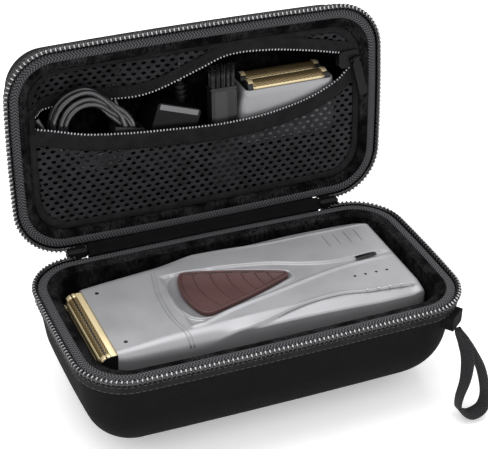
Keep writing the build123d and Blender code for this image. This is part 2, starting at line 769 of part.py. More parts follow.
def switch_face(grow=0.0, travel=0.0):
    """Teardrop outline of the power switch, or of the recess that it slides in."""
    half = switch_half_width + grow
    front, tip = switch_front - travel - grow, switch_tip + 2 * grow
    middle_x, bulge = (switch_shoulder + tip) / 2, half / 2 + 1.3
    near = switch_shoulder - travel
    edges = [
        ThreePointArc((switch_shoulder, half), (middle_x, bulge), (tip, 0)),
        ThreePointArc((tip, 0), (middle_x, -bulge), (switch_shoulder, -half)),
        ThreePointArc((near, -half), (front, 0), (near, half)),
    ]
    if travel:
        edges.append(Line((switch_shoulder, -half), (near, -half)))
        edges.append(Line((near, half), (switch_shoulder, half)))
    face = Face(Wire(edges))
    face = fillet(face.vertices().sort_by(Axis.X)[-1:], 2.0)
    return fillet(face.vertices().sort_by(Axis.X)[:2], 3.0)


def switch_recess():
    """Recess in the top housing, longer than the switch by its travel."""
    recess = Pos(0, shaver_middle_y, switch_z - 0.2) * extrude(
        switch_face(switch_gap, switch_travel), amount=switch_depth + 2, dir=(0, 0, 1))
    slot = block(stem_x - 1.5 - switch_travel - switch_gap, stem_x + 1.5 + switch_gap,
                 shaver_middle_y - 3 - switch_gap, shaver_middle_y + 3 + switch_gap,
                 switch_z - 4, switch_z + 1)
    return recess + slot


def power_switch():
    """Sliding switch with a stem and a foot that keeps it in its slot."""
    plate = Pos(0, shaver_middle_y, switch_z) * extrude(
        switch_face(), amount=switch_thickness, dir=(0, 0, 1))
    top = plate.faces().sort_by(Axis.Z)[-1]
    plate = fillet(top.edges(), 0.5)
    stem = block(stem_x - 1.5, stem_x + 1.5, shaver_middle_y - 3, shaver_middle_y + 3,
                 switch_z - 4, switch_z + 0.5)
    foot = block(stem_x - 4, stem_x + 4, shaver_middle_y - 5, shaver_middle_y + 5,
                 switch_z - 4, switch_z - 2.4)
    return plate + stem + foot


light_start = shaver_back - 21.0
light_length = 10.3
light_y = shaver_middle_y - 1.0
dot_spots = [(light_start - 6.3 + 5.2 * n, shaver_middle_y - 12.4) for n in range(4)]


def light_windows(grow):
    """Slot and four dots that the status lights show through."""
    body = Pos(light_start + light_length / 2, light_y, shaver_top - 4) * extrude(
        SlotOverall(light_length + 2 * grow, 2.4 + 2 * grow), amount=5)
    for x, y in dot_spots:
        body += Pos(x, y, shaver_top - 1.5) * Cylinder(0.6 + grow, 5)
    return body


def status_lights():
    """Clear light guide under the top housing, its windows level with the surface."""
    plate = block(light_start - 8, light_start + light_length + 1, shaver_middle_y - 14,
                  light_y + 3, shaver_top - 4.6, shaver_top - 3.6)
    return plate + (light_windows(0) & Pos(0, 0, -0.15) * shaver_outer)


socket_z = shaver_split + 5.0


def charge_socket():
    """Barrel socket in the back end, with its contact pin."""
    tube = rod_x(3.0, shaver_back - 11, shaver_back - 0.3, shaver_middle_y, socket_z)
    tube -= rod_x(2.0, shaver_back - 9, shaver_back, shaver_middle_y, socket_z)
    return tube + rod_x(0.6, shaver_back - 9.5, shaver_back - 1.5, shaver_middle_y, socket_z)


def top_housing():
    """Upper half of the grip: recess of the switch, windows, grooves and board posts."""
    half = (shaver_outer & span_x(shaver_seam, shaver_back + 1, shaver_split, case_width))
    half -= shaver_inner
    for x in (battery_start + 26, battery_start + 60):
        for sign in (-1, 1):
            half += Pos(x, shaver_middle_y + sign * 16.5, board_z + board_thickness + 2.6) \
                * Cylinder(1.5, 5.2)
    half -= light_windows(0.1)
    for number in range(4):
        half -= Pos(light_start - 6.0 + 5.3 * number, shaver_middle_y + 17.0,
                    shaver_top) * Box(0.6, 10, 1.4)
    half -= rod_x(3.0, shaver_back - 5, shaver_back + 1, shaver_middle_y, socket_z)
    return half - switch_recess() - motor_body()


def foam_bed():
    """Foam that the shaver lies on."""
    return forms[1]["hollow"] & span_x(-case_length, case_length, 0,
                                       shaver_bottom - seat_clearance)


# ---------------------------------------------------------------- what the pocket holds
def at_depth(depth):
    return base_height + depth


def spare_frame():
    lean = math.radians(spare_tilt)
    x, y, depth = spare_place
    return Plane((x, y, at_depth(depth)), x_dir=(1, 0, 0),
                 z_dir=(0, math.sin(lean), -math.cos(lean)))


def spare_cap():
    """Second head's cap, open at the back."""
    front = Plane((0, 0, 0), x_dir=(1, 0, 0), z_dir=(0, -1, 0))

    def form(inset, start):
        return loft([
            front.offset(start) * RectangleRounded(
                spare_width - 4 - 2 * inset, spare_thickness - 2 * inset, 3.2 - inset),
            front.offset(spare_length * 0.3) * RectangleRounded(
                spare_width - 0.8 - 2 * inset, spare_thickness - 2 * inset, 4.4 - inset),
            front.offset(spare_length) * RectangleRounded(
                spare_width - 2 * inset, spare_thickness - 2 * inset, 5 - inset)])
    cap = form(0, 0) - (form(1.5, 0) & block(-spare_width, spare_width, -spare_length - 1,
                                             1.5 - well_depth, -spare_width, spare_width))
    return cap - head_well(spare_foil_length, spare_foil_radius, spare_spacing,
                           spare_foil_gap, well_depth)


hank_outer = [(-68, -13), (-62, -22), (-50, -26), (-38, -17), (-27.5, -4), (-28.5, 5),
              (-35, 13), (-47, 16), (-60, 10), (-66.5, -1)]
hank_inner = [(-57, -10), (-53, -14), (-47, -14.5), (-40, -8), (-34.5, 0), (-37, 6), (-46, 8),
              (-54, 3)]


def lead_hank():
    """Outer shape of the lead's coiled turns."""
    outline = make_face(Spline(*hank_outer, periodic=True))
    hole = make_face(Spline(*hank_inner, periodic=True))
    return Pos(0, 0, at_depth(hank_near)) * extrude(outline - hole,
                                                    amount=hank_far - hank_near)


# from the adapter's boot to the coil: x, y and depth
lead_points = [(-4.8, -17.5, 15.3), (-4.8, -32.6, 15.3), (-24.0, -34.0, 18.5),
               (-29.0, -21.0, 17.0), (-30.7, -9.6, 10.8)]


def lead_route():
    """Straight runs joined by arcs that are tangent to them."""
    spots = [Vector(x, y, at_depth(depth)) for x, y, depth in lead_points]
    radii = []
    for before, corner, after in zip(spots, spots[1:], spots[2:]):
        turn = (corner - before).get_angle(after - corner)
        run = min((corner - before).length, (after - corner).length)
        radii.append(0.45 * run / math.tan(math.radians(turn / 2)))
    print("lead's bends, mm:", [round(radius, 1) for radius in radii])
    return FilletPolyline(*spots, radius=radii)


def lead_tail():
    """Lead between the adapter's boot and the coil."""
    path = lead_route()
    tube = sweep(Plane(path @ 0, z_dir=path % 0) * Circle(lead_diameter / 2), path=path)
    print("lead's tail, mm and mm3:", round(path.length, 1), round(tube.volume, 1))
    return tube - lead_hank()


tie_spot = (-32.0, -2.5)


def lead_tie():
    """Clip round the coil's turns."""
    x, y = tie_spot
    outer = Pos(x, y, at_depth((hank_near + hank_far) / 2)) * Rot(0, 0, 12) * Box(
        13.5, 3.2, hank_far - hank_near + 1.6)
    return outer - Pos(x, y, at_depth((hank_near + hank_far) / 2)) * Rot(0, 0, 12) * Box(
        11.9, 4, hank_far - hank_near) - lead_hank()


def lead_plug():
    """Barrel plug at the lead's other end, lying against the coil."""
    start = Plane((-66.3, -1.0, at_depth(9.0)), z_dir=(-0.42, -0.9, 0))
    grip = start * Pos(0, 0, 4) * Cylinder(2.6, 8)
    barrel = start * Pos(0, 0, 11) * Cylinder(1.7, 6)
    return grip + barrel - start * Pos(0, 0, 12) * Cylinder(0.8, 6) - lead_hank()


adapter_plane = Plane((-18.0, -13.0, at_depth(adapter_near)),
                      x_dir=(math.cos(math.radians(adapter_turn)),
                             math.sin(math.radians(adapter_turn)), 0), z_dir=(0, 0, 1))
adapter_thickness = hollow_depths[-1] - adapter_near - seat_clearance


def adapter_case():
    """Power adapter's housing."""
    body = block(0, adapter_width, 0, adapter_length, 0, adapter_thickness)
    body = fillet(body.edges().filter_by(Axis.Z), 1.6)
    body -= block(1.2, adapter_width - 1.2, 0.5, 2.9, -1, 0.5)
    return adapter_plane * body


def adapter_strip():
    """Pale strip let into the adapter's edge."""
    return adapter_plane * block(1.2, adapter_width - 1.2, 0.5, 2.9, -0.2, 0.5)


def adapter_boot():
    """Ribbed sleeve that the lead leaves the adapter through."""
    axis = Plane((lead_points[0][0], lead_points[0][1], at_depth(lead_points[0][2])),
                 z_dir=(0, 1, 0))
    sleeve = axis * Pos(0, 0, 8) * Cylinder(2.4, 16)
    for number in range(3):
        sleeve += axis * Pos(0, 0, 1.4 + 2.4 * number) * Cylinder(3.2, 1.2)
    return sleeve - adapter_case()


brush_left, brush_near = 6.6, 5.7
bristle_edge = -14.0


def brush_handle():
    """Flat handle of the cleaning brush, with a recess for its pale panel."""
    body = block(brush_left, brush_left + brush_width, bristle_edge,
                 bristle_edge + brush_handle_length, at_depth(brush_near),
                 at_depth(brush_near + 5.6))
    body = fillet(body.edges().filter_by(Axis.Z), 1.5)
    return body - brush_panel()


def brush_panel():
    """Pale panel on the brush's handle."""
    return block(brush_left + 1.4, brush_left + 7.4, bristle_edge + 0.6,
                 bristle_edge + brush_handle_length - 2, at_depth(brush_near - 0.15),
                 at_depth(brush_near + 0.5))


def brush_bristles():
    """Tufts of bristles in five columns and three rows."""
    group = block(brush_left + 0.4, brush_left + brush_width - 0.4, bristle_edge - 0.8,
                  bristle_edge, at_depth(brush_near + 0.3), at_depth(brush_near + 5.3))
    for column in range(5):
        for row in range(3):
            x = brush_left + brush_width / 2 + (column - 2) * 2.3
            z = at_depth(brush_near + 1.2 + row * 1.6)
            group += Pos(x, bristle_edge - bristle_length / 2, z) * Rot(90, 0, 0) * Cylinder(
                0.75, bristle_length)
    return group


# ---------------------------------------------------------------- pieces
pieces = {}
for side, half in ((1, "base"), (-1, "lid")):
    for label, make in (("shell", shell), ("lining", lining), ("rim_band", rim_band),
                        ("zip_tape", zip_tape), ("zip_coil", zip_coil), ("spine", spine)):
        pieces[half + "_" + label] = make(side) if side == 1 else open_lid(make(side))
pieces["zip_sliders"] = main_sliders()
pieces["pull_tab_left"] = main_pull(-1)
pieces["pull_tab_right"] = main_pull(1)
pieces["strap_tab"] = strap_tab()
pieces["wrist_strap"] = wrist_strap()
pieces["foam_bed"] = foam_bed()
for label, make in (
        ("pocket_upper_tape", pocket_upper_tape), ("pocket_lower_tape", pocket_lower_tape),
        ("pocket_upper_coil", pocket_upper_coil), ("pocket_lower_coil", pocket_lower_coil),
        ("pocket_upper_panel", pocket_upper_panel), ("pocket_lower_panel", pocket_lower_panel),
        ("pocket_slider", pocket_slider), ("pocket_pull", pocket_pull),
        ("pocket_stop", pocket_stop), ("lead_hank", lead_hank), ("lead_tail", lead_tail),
        ("lead_tie", lead_tie), ("lead_plug", lead_plug), ("adapter_case", adapter_case),
        ("adapter_strip", adapter_strip), ("adapter_boot", adapter_boot),
        ("brush_handle", brush_handle), ("brush_panel", brush_panel),
        ("brush_bristles", brush_bristles)):
    pieces[label] = open_lid(make())
spare = spare_frame()
pieces["spare_cap"] = open_lid(spare * spare_cap())
pieces["spare_frame"] = open_lid(spare * foil_frame(
    spare_foil_length, spare_foil_radius, spare_spacing, spare_foil_gap, well_depth, 2.4))
for label, sign in (("far", -1), ("near", 1)):
    pieces["spare_foil_" + label] = open_lid(spare * foil(
        spare_foil_length, spare_foil_radius, spare_foil_centre, sign * spare_spacing / 2))
pieces["head_cap"] = head_cap()
pieces["cap_screws"] = cap_screws()
pieces["foil_frame"] = head_plane * foil_frame(
    foil_length, foil_radius, foil_spacing, foil_gap, well_depth, 2 * cutter_travel + 1.4)
for label, sign in (("lower", -1), ("upper", 1)):
    shift = sign * foil_spacing / 2
    pieces["foil_" + label] = head_plane * foil(foil_length, foil_radius, foil_centre, shift)
    pieces["cutter_" + label] = head_plane * cutter(shift)
for label, make in (("oscillator", oscillator), ("motor_body", motor_body),
                    ("motor_rotor", motor_rotor), ("battery", battery),
                    ("circuit_board", circuit_board), ("bottom_housing", bottom_housing),
                    ("top_housing", top_housing), ("power_switch", power_switch),
                    ("status_lights", status_lights), ("charge_socket", charge_socket)):
    pieces[label] = make()
for node, piece in pieces.items():
    export_step(piece, "parts/" + node + ".step")
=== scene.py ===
"""Electric shaver hard case: cloth, zips, mesh pocket, lead, brush, foil heads and shaver."""
import json
import math
import random
from collections import namedtuple

import bmesh
import bpy
from mathutils import Matrix, Vector


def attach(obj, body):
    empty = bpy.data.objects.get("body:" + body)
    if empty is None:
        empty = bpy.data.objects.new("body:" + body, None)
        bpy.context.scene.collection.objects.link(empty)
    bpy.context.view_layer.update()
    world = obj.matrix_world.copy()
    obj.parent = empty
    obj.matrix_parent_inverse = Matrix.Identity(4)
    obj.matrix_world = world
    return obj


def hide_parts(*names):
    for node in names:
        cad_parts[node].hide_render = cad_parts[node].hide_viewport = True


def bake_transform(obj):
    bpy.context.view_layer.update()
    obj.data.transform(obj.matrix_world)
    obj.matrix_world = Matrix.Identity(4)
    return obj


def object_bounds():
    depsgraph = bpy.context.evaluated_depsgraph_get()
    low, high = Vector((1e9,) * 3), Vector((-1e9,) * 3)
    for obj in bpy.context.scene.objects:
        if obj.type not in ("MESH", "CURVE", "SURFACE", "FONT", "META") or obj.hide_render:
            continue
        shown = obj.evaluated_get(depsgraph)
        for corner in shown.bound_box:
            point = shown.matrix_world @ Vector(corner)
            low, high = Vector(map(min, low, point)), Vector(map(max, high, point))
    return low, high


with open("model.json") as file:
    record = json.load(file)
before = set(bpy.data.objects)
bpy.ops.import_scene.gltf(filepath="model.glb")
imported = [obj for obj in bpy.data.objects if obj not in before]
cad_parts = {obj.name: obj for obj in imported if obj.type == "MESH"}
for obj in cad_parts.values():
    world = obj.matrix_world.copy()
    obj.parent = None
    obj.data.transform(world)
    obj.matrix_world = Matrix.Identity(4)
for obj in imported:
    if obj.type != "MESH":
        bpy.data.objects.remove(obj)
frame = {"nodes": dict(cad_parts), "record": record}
cad_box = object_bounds()

bl_info = {
    "name": "Electric Shaver Hard Case",
    "version": (1, 0, 0),
    "blender": (4, 5, 0),
    "location": "View3D > Sidebar > Shaver Case",
    "description": "Builds the zipped hard case with its shaver and accessories",
    "category": "Add Mesh",
}

# ------------------------------------------------------------------ sizes of the solids, mm
MM = 0.001
CASE_LENGTH, CASE_WIDTH = 176.0, 95.5
CORNER, EASE = 23.0, 18.0     # outline's corner radius, and the inset at which it is halved
SIDE_BOW, END_BOW = 1.35, 1.5
RIM_Z = 50.0
HINGE_Y = CASE_WIDTH / 2
LID_OPEN = math.radians(96.9)
SPINE_HALF = 55.85            # half the hinge strip's length
COIL_START = 61.0             # zip coil's ends, inside the parked sliders
HEAD_X, HEAD_Y, HEAD_Z = -66.0, 3.6, 34.4
POCKET_DEPTH = 3.4            # of the lower panel's edge under the lid's rim
# the pocket's mouth: place along the case, upper edge and its depth, lower edge
MOUTH = [
    (-77.0, -14.4, 3.4, -12.6), (-72.5, -15.2, 8.4, -11.2), (-68.0, -16.0, 13.2, -10.0),
    (-53.0, -16.4, 14.2, -5.6), (-37.0, -15.4, 14.0, -3.1), (-27.0, -16.0, 10.7, -2.0),
    (-17.0, -18.0, 9.2, -1.2), (0.0, -25.2, 6.0, 0.2), (14.0, -30.4, 4.6, 0.6),
    (32.0, -30.3, 3.6, -0.4), (52.0, -27.0, 3.4, -4.4), (66.0, -23.8, 3.4, -10.4),
    (72.0, -22.4, 3.4, -15.4), (77.0, -21.3, 3.4, -19.5),
]

# the base is drawn in its own place, the lid as if it were shut and then turned open
BASE = Matrix.Scale(MM, 4)
TO_HINGE = Matrix.Translation((0, HINGE_Y, RIM_Z))
LID = BASE @ TO_HINGE @ Matrix.Rotation(-LID_OPEN, 4, "X") @ TO_HINGE.inverted()
PLACE = {1: BASE, -1: LID}
HALF = {1: "base", -1: "lid"}


# ------------------------------------------------------------------ mesh helpers
WELD = 1e-7    # points closer than this, in metres, become one


def add_mesh(name, verts, faces, place, finish, uvs=None, smooth=True, weld=True):
    """Mesh object from points in mm, moved to its place, with uvs in mm where it has them."""
    mesh = bpy.data.meshes.new(name)
    mesh.from_pydata([tuple(place @ Vector(v)) for v in verts], [], faces)
    if uvs:
        layer = mesh.uv_layers.new(name="mm")
        for loop in mesh.loops:
            layer.data[loop.index].uv = uvs[loop.vertex_index]
    if weld:
        work = bmesh.new()
        work.from_mesh(mesh)
        bmesh.ops.remove_doubles(work, verts=work.verts, dist=WELD)
        bmesh.ops.recalc_face_normals(work, faces=work.faces)
        work.to_mesh(mesh)
        work.free()
    mesh.polygons.foreach_set("use_smooth", [smooth] * len(mesh.polygons))
    mesh.materials.append(finish)
    piece = bpy.data.objects.new(name, mesh)
    bpy.context.scene.collection.objects.link(piece)
    return piece


def settle(piece, body, slot, *nodes):
    """Let a piece ride on its body and stand for its nodes; its slot is not used."""
    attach(piece, body)
    if nodes:
        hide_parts(*nodes)
    return piece


def thicken(piece, thickness, offset=0):
    """Give a sheet its thickness in mm: to both sides, or to the back with offset -1."""
    solid = piece.modifiers.new("thickness", "SOLIDIFY")
    solid.thickness, solid.offset = thickness * MM, offset
    return piece


def grid(rows, close_rows=False, close_points=False):
    """Faces between rows of equally many points."""
    count, faces = len(rows[0]), []
    for r in range(len(rows) if close_rows else len(rows) - 1):
        for p in range(count if close_points else count - 1):
            a, b = r * count, (r + 1) % len(rows) * count
            q = (p + 1) % count
            faces.append((a + p, a + q, b + q, b + p))
    return faces


def end_cap(rows):
    """One face over the last of the rows."""
    count = len(rows[0])
    return tuple(range((len(rows) - 1) * count, len(rows) * count))


def grid_uvs(rows):
    """Distances along and across rows of points, so that a weave keeps its real scale."""
    along, uvs = 0.0, []
    middle = len(rows[0]) // 2
    for number, row in enumerate(rows):
        if number:
            along += (Vector(row[middle]) - Vector(rows[number - 1][middle])).length
        across = 0.0
        for p, point in enumerate(row):
            if p:
                across += (Vector(point) - Vector(row[p - 1])).length
            uvs.append((along, across))
    return uvs


def flat(rows):
    """All points of the rows as one list."""
    return [point for row in rows for point in row]


def joined(*shapes):
    """Several shapes, each its points and faces, as one."""
    verts, faces = [], []
    for points, sides in shapes:
        start = len(verts)
        verts += points
        faces += [tuple(start + n for n in side) for side in sides]
    return verts, faces


def stamp(shape, frames):
    """Copies of a small shape, one at each frame, as one list of points and faces."""
    points, sides = shape
    return joined(*[([tuple(spot @ Vector(v)) for v in points], sides) for spot in frames])


def axes(origin, x, y, z):
    """Matrix with these three directions and this origin."""
    turn = Matrix((x, y, z)).transposed().to_4x4()
    return Matrix.Translation(origin) @ turn


def pill(length, width, height, rings=4, sides=8, blunt=0.6):
    """Small rounded stitch or bead, long in x, with fuller ends the smaller blunt is."""
    verts, faces = [(-length / 2, 0, 0)], []
    for ring in range(1, rings):
        turn = math.pi * ring / rings
        x, reach = -math.cos(turn) * length / 2, math.sin(turn) ** blunt
        for side in range(sides):
            a = 2 * math.pi * side / sides
            verts.append((x, math.cos(a) * reach * width / 2, math.sin(a) * reach * height / 2))
    verts.append((length / 2, 0, 0))
    for side in range(sides):
        nxt = (side + 1) % sides
        faces.append((0, 1 + nxt, 1 + side))
        for ring in range(rings - 2):
            a, b = 1 + ring * sides, 1 + (ring + 1) * sides
            faces.append((a + side, a + nxt, b + nxt, b + side))
        last = 1 + (rings - 2) * sides
        faces.append((last + side, last + nxt, len(verts) - 1))
    return verts, faces


def tube(path, radius, sides=8, closed=False, flatten=1.0):
    """Round tube along points in mm; radius is a number or one number for each point."""
    rows = []
    up = Vector((0, 0, 1))
    count = len(path)
    for n, point in enumerate(path):
        before = path[(n - 1) % count] if closed or n else point
        after = path[(n + 1) % count] if closed or n < count - 1 else point
        ahead = (Vector(after) - Vector(before)).normalized()
        side = ahead.cross(up)
        if side.length < 0.1:
            side = ahead.cross(Vector((1, 0, 0)))
        side.normalize()
        over = side.cross(ahead)
        r = radius[n] if isinstance(radius, list) else radius
        rows.append([tuple(Vector(point) + r * (math.cos(a) * side + flatten * math.sin(a) * over))
                     for a in (2 * math.pi * k / sides for k in range(sides))])
    faces = grid(rows, close_rows=closed, close_points=True)
    if not closed:
        faces += [tuple(range(sides)), tuple(range(len(rows) * sides - 1,
                                                   (len(rows) - 1) * sides - 1, -1))]
    return flat(rows), faces


def rounded_box(sx, sy, sz, bevel):
    """Box with bevelled edges, centred on the origin."""
    work = bmesh.new()
    bmesh.ops.create_cube(work, size=1.0)
    bmesh.ops.scale(work, vec=(sx, sy, sz), verts=work.verts)
    bmesh.ops.bevel(work, geom=work.edges, offset=bevel, segments=2, affect="EDGES", profile=0.6)
    verts = [tuple(v.co) for v in work.verts]
    faces = [tuple(v.index for v in f.verts) for f in work.faces]
    work.free()
    return verts, faces


def smooth_steps(low, high, value):
    """From 0 at low to 1 at high, level at both ends."""
    t = min(max((value - low) / (high - low), 0.0), 1.0)
    return t * t * (3 - 2 * t)


def curve_at(table, x, column=1):
    """Smooth value of a table's column at x, by a curve through its points."""
    if x <= table[0][0]:
        return table[0][column]
    for n in range(len(table) - 1):
        if x <= table[n + 1][0]:
            break
    else:
        return table[-1][column]
    p0, p1 = table[max(n - 1, 0)], table[n]
    p2, p3 = table[n + 1], table[min(n + 2, len(table) - 1)]
    span = p2[0] - p1[0]
    t = (x - p1[0]) / span
    slope1 = (p2[column] - p0[column]) / (p2[0] - p0[0]) * span
    slope2 = (p3[column] - p1[column]) / (p3[0] - p1[0]) * span
    a = 2 * t ** 3 - 3 * t ** 2 + 1
    b = t ** 3 - 2 * t ** 2 + t
    c = -2 * t ** 3 + 3 * t ** 2
    d = t ** 3 - t ** 2
    return a * p1[column] + b * slope1 + c * p2[column] + d * slope2


# ------------------------------------------------------------------ the case's outline
def eased_corner(inset):
    """Corner radius of the outline moved inwards by this much."""
    return CORNER / (1 + inset / EASE)


def rim_arcs(inset, corner=None):
    """Nine arcs of the outline, moved inwards: centre, radius and start and end angle."""
    corner = CORNER - inset if corner is None else corner
    side_r = ((CASE_LENGTH / 2) ** 2 + SIDE_BOW ** 2) / (2 * SIDE_BOW)
    end_r = ((CASE_WIDTH / 2) ** 2 + END_BOW ** 2) / (2 * END_BOW)
    side_c, end_c = CASE_WIDTH / 2 - side_r, CASE_LENGTH / 2 - end_r
    side_r, end_r = side_r - inset, end_r - inset
    reach_s, reach_e = side_r - corner, end_r - corner
    gap = math.hypot(end_c, side_c)
    along = (reach_s ** 2 - reach_e ** 2 + gap ** 2) / (2 * gap)
    across = math.sqrt(reach_s ** 2 - along ** 2)
    dx, dy = end_c / gap, -side_c / gap
    cx, cy = along * dx + across * dy, side_c + along * dy - across * dx
    to_side, to_end = math.atan2(cy - side_c, cx), math.atan2(cy, cx - end_c)
    pi = math.pi
    return [
        ((0, side_c), side_r, pi / 2, pi - to_side),
        ((-cx, cy), corner, pi - to_side, pi - to_end),
        ((-end_c, 0), end_r, pi - to_end, pi + to_end),
        ((-cx, -cy), corner, pi + to_end, pi + to_side),
        ((0, -side_c), side_r, pi + to_side, 2 * pi - to_side),
        ((cx, -cy), corner, 2 * pi - to_side, 2 * pi - to_end),
        ((end_c, 0), end_r, -to_end, to_end),
        ((cx, cy), corner, to_end, to_side),
        ((0, side_c), side_r, to_side, pi / 2),
    ]


ARC_STEPS = (30, 26, 30, 26, 60, 26, 30, 26, 30)    # points on each of the arcs


def rim_line(inset, corner=None):
    """Points of the outline with their outward directions, from the hinge's middle and back."""
    line = []
    for (centre, radius, start, end), steps in zip(rim_arcs(inset, corner), ARC_STEPS):
        for step in range(steps):
            a = start + (end - start) * step / steps
            line.append((centre[0] + radius * math.cos(a), centre[1] + radius * math.sin(a),
                         math.cos(a), math.sin(a)))
    return line + [line[0]]


def rim_stations(inset, pitch, start=0.5):
    """Evenly spaced places on the outline, clear of the hinge: point, direction, outwards."""
    line = rim_line(inset)
    lengths = [0.0]
    for a, b in zip(line, line[1:]):
        lengths.append(lengths[-1] + math.hypot(b[0] - a[0], b[1] - a[1]))
    count = round(lengths[-1] / pitch)
    places, n = [], 0
    for k in range(count):
        goal = (k + start) * lengths[-1] / count
        while lengths[n + 1] < goal:
            n += 1
        t = (goal - lengths[n]) / (lengths[n + 1] - lengths[n])
        x, y, nx, ny = (a + (b - a) * t for a, b in zip(line[n], line[n + 1]))
        if off_hinge(x, y, COIL_START):
            places.append(((x, y), (-ny, nx), (nx, ny)))
    return places


def depth_z(side, depth):
    """Height of a place at this depth under the rim: side 1 is the base, -1 the lid."""
    return RIM_Z - side * depth


def off_hinge(x, y, half):
    """Whether a place on the outline is clear of the hinge strip's middle part."""
    return y < 0 or abs(x) > half


def rim_frame(side, place, depth):
    """Frame on the outline: x along it, y outwards, z towards the other half."""
    (x, y), (tx, ty), (nx, ny) = place
    return axes((x, y, depth_z(side, depth)), (tx, ty, 0), (nx, ny, 0), (0, 0, side))


def rim_strip(name, side, profile, finish, half=None):
    """Strip of cloth round the rim, from its profile's insets and depths.

    With half, it leaves out that half length of the hinge strip on both sides of its middle."""
    columns = [rim_line(inset, eased_corner(inset)) for inset, _ in profile]
    rows = []
    for places in zip(*columns):
        row = [(place[0], place[1], depth_z(side, depth))
               for place, (_, depth) in zip(places, profile)]
        if half is None or off_hinge(row[0][0], row[0][1], half):
            rows.append(row)
    return add_mesh(name, flat(rows), grid(rows), PLACE[side], finish, grid_uvs(rows))


def inside_outline(line, x, y):
    """Whether a place is inside a closed line of points."""
    odd = False
    for a, b in zip(line, line[1:] + line[:1]):
        if (a[1] > y) != (b[1] > y) and x < (b[0] - a[0]) * (y - a[1]) / (b[1] - a[1]) + a[0]:
            odd = not odd
    return odd


# ------------------------------------------------------------------ materials
def srgb(text):
    """Linear colour of an sRGB hex value."""
    values = [int(text[n:n + 2], 16) / 255 for n in (1, 3, 5)]
    return tuple(v / 12.92 if v <= 0.04045 else ((v + 0.055) / 1.055) ** 2.4
                 for v in values) + (1.0,)


def add(tree, kind, settings=None, values=None, links=None):
    """A node with its settings, its sockets' values and what is linked to them."""
    node = tree.nodes.new(kind)
    for key, value in (settings or {}).items():
        setattr(node, key, value)
    for key, value in (values or {}).items():
        node.inputs[key].default_value = value
    for key, source in (links or {}).items():
        tree.links.new(source, node.inputs[key])
    return node


def band_scale(period):
    """Wave texture's scale for bands this far apart, in the coordinates' unit."""
    return 2 * math.pi / (20 * period)


def shaded(colour, share):
    """The same colour, darker."""
    return tuple(v * share for v in colour[:3]) + (1.0,)


def base_material(name, roughness, metallic=0.0, **sockets):
    """A new finish with its plain values: the finish, its node tree and its shader."""
    finish = bpy.data.materials.new(name)
    finish.use_nodes = True
    tree = finish.node_tree
    shader = tree.nodes["Principled BSDF"]
    shader.inputs["Roughness"].default_value = roughness
    shader.inputs["Metallic"].default_value = metallic
    for key, value in sockets.items():
        shader.inputs[key.replace("_", " ")].default_value = value
    return finish, tree, shader


def dress(tree, shader, pattern, dark, light, height, strength, distance):
    """Colour from dark to light by a pattern, and relief, distance in mm, by a height."""
    colour = add(tree, "ShaderNodeMix", {"data_type": "RGBA"}, {6: dark, 7: light}, {0: pattern})
    relief = add(tree, "ShaderNodeBump", None,
                 {"Strength": strength, "Distance": distance * MM}, {"Height": height})
    tree.links.new(colour.outputs[2], shader.inputs["Base Color"])
    tree.links.new(relief.outputs[0], shader.inputs["Normal"])


def speckle(tree, coordinates, size, detail=3.0, low=0.35, high=0.65):
    """Noise with grains of about this size, spread between black and white."""
    noise = add(tree, "ShaderNodeTexNoise", values={"Scale": 1.0 / size, "Detail": detail},
                links={"Vector": coordinates})
    return add(tree, "ShaderNodeMapRange", values={1: low, 2: high},
               links={0: noise.outputs["Fac"]}).outputs[0]


def woven(name, dark, light, thread, roughness=0.85, depth=0.25, coordinates="Object"):
    """Cloth of crossing slanted threads. thread is their drawn distance in mm."""
    finish, tree, shader = base_material(name, roughness, Specular_IOR_Level=0.1)
    source = add(tree, "ShaderNodeTexCoord").outputs[coordinates]
    unit, across = (MM, 1) if coordinates == "Object" else (1.0, -1)
    turned = add(tree, "ShaderNodeMapping", values={"Scale": (1, across, -1)},
                 links={"Vector": source}).outputs[0]
    threads = [add(tree, "ShaderNodeTexWave", {"bands_direction": "DIAGONAL"},
                   {"Scale": 2 * band_scale(thread * unit), "Distortion": 0.6},
                   {"Vector": vector}).outputs["Fac"] for vector in (source, turned)]
    cross = add(tree, "ShaderNodeMath", {"operation": "MULTIPLY"},
                links=dict(enumerate(threads))).outputs[0]
    level = cross
    # broad clouds of wear first, then the fibres' own grain
    for share, noise in ((0.35, speckle(tree, source, 6 * unit)),
                         (0.3, speckle(tree, source, 0.5 * thread * unit, 2.0))):
        level = add(tree, "ShaderNodeMath", {"operation": "MULTIPLY_ADD"}, {1: share},
                    {0: noise, 2: level}).outputs[0]
    dress(tree, shader, level, dark, light, cross, 0.7, depth)
    return finish


def moulded(name, colour, roughness, shade=0.12, grain=0.35, depth=0.02, metallic=0.0, **sockets):
    """Moulded or lacquered surface with a fine grain, in mm, and slight variation."""
    finish, tree, shader = base_material(name, roughness, metallic, **sockets)
    source = add(tree, "ShaderNodeTexCoord").outputs["Object"]
    fine = speckle(tree, source, grain * MM, 2.0)
    broad = speckle(tree, source, 14 * MM)
    rough = add(tree, "ShaderNodeMapRange", values={3: roughness * 0.9, 4: roughness * 1.15},
                links={0: broad}).outputs[0]
    tree.links.new(rough, shader.inputs["Roughness"])
    dress(tree, shader, broad, shaded(colour, (1 - shade) ** 2), colour, fine, 0.3, depth)
    return finish


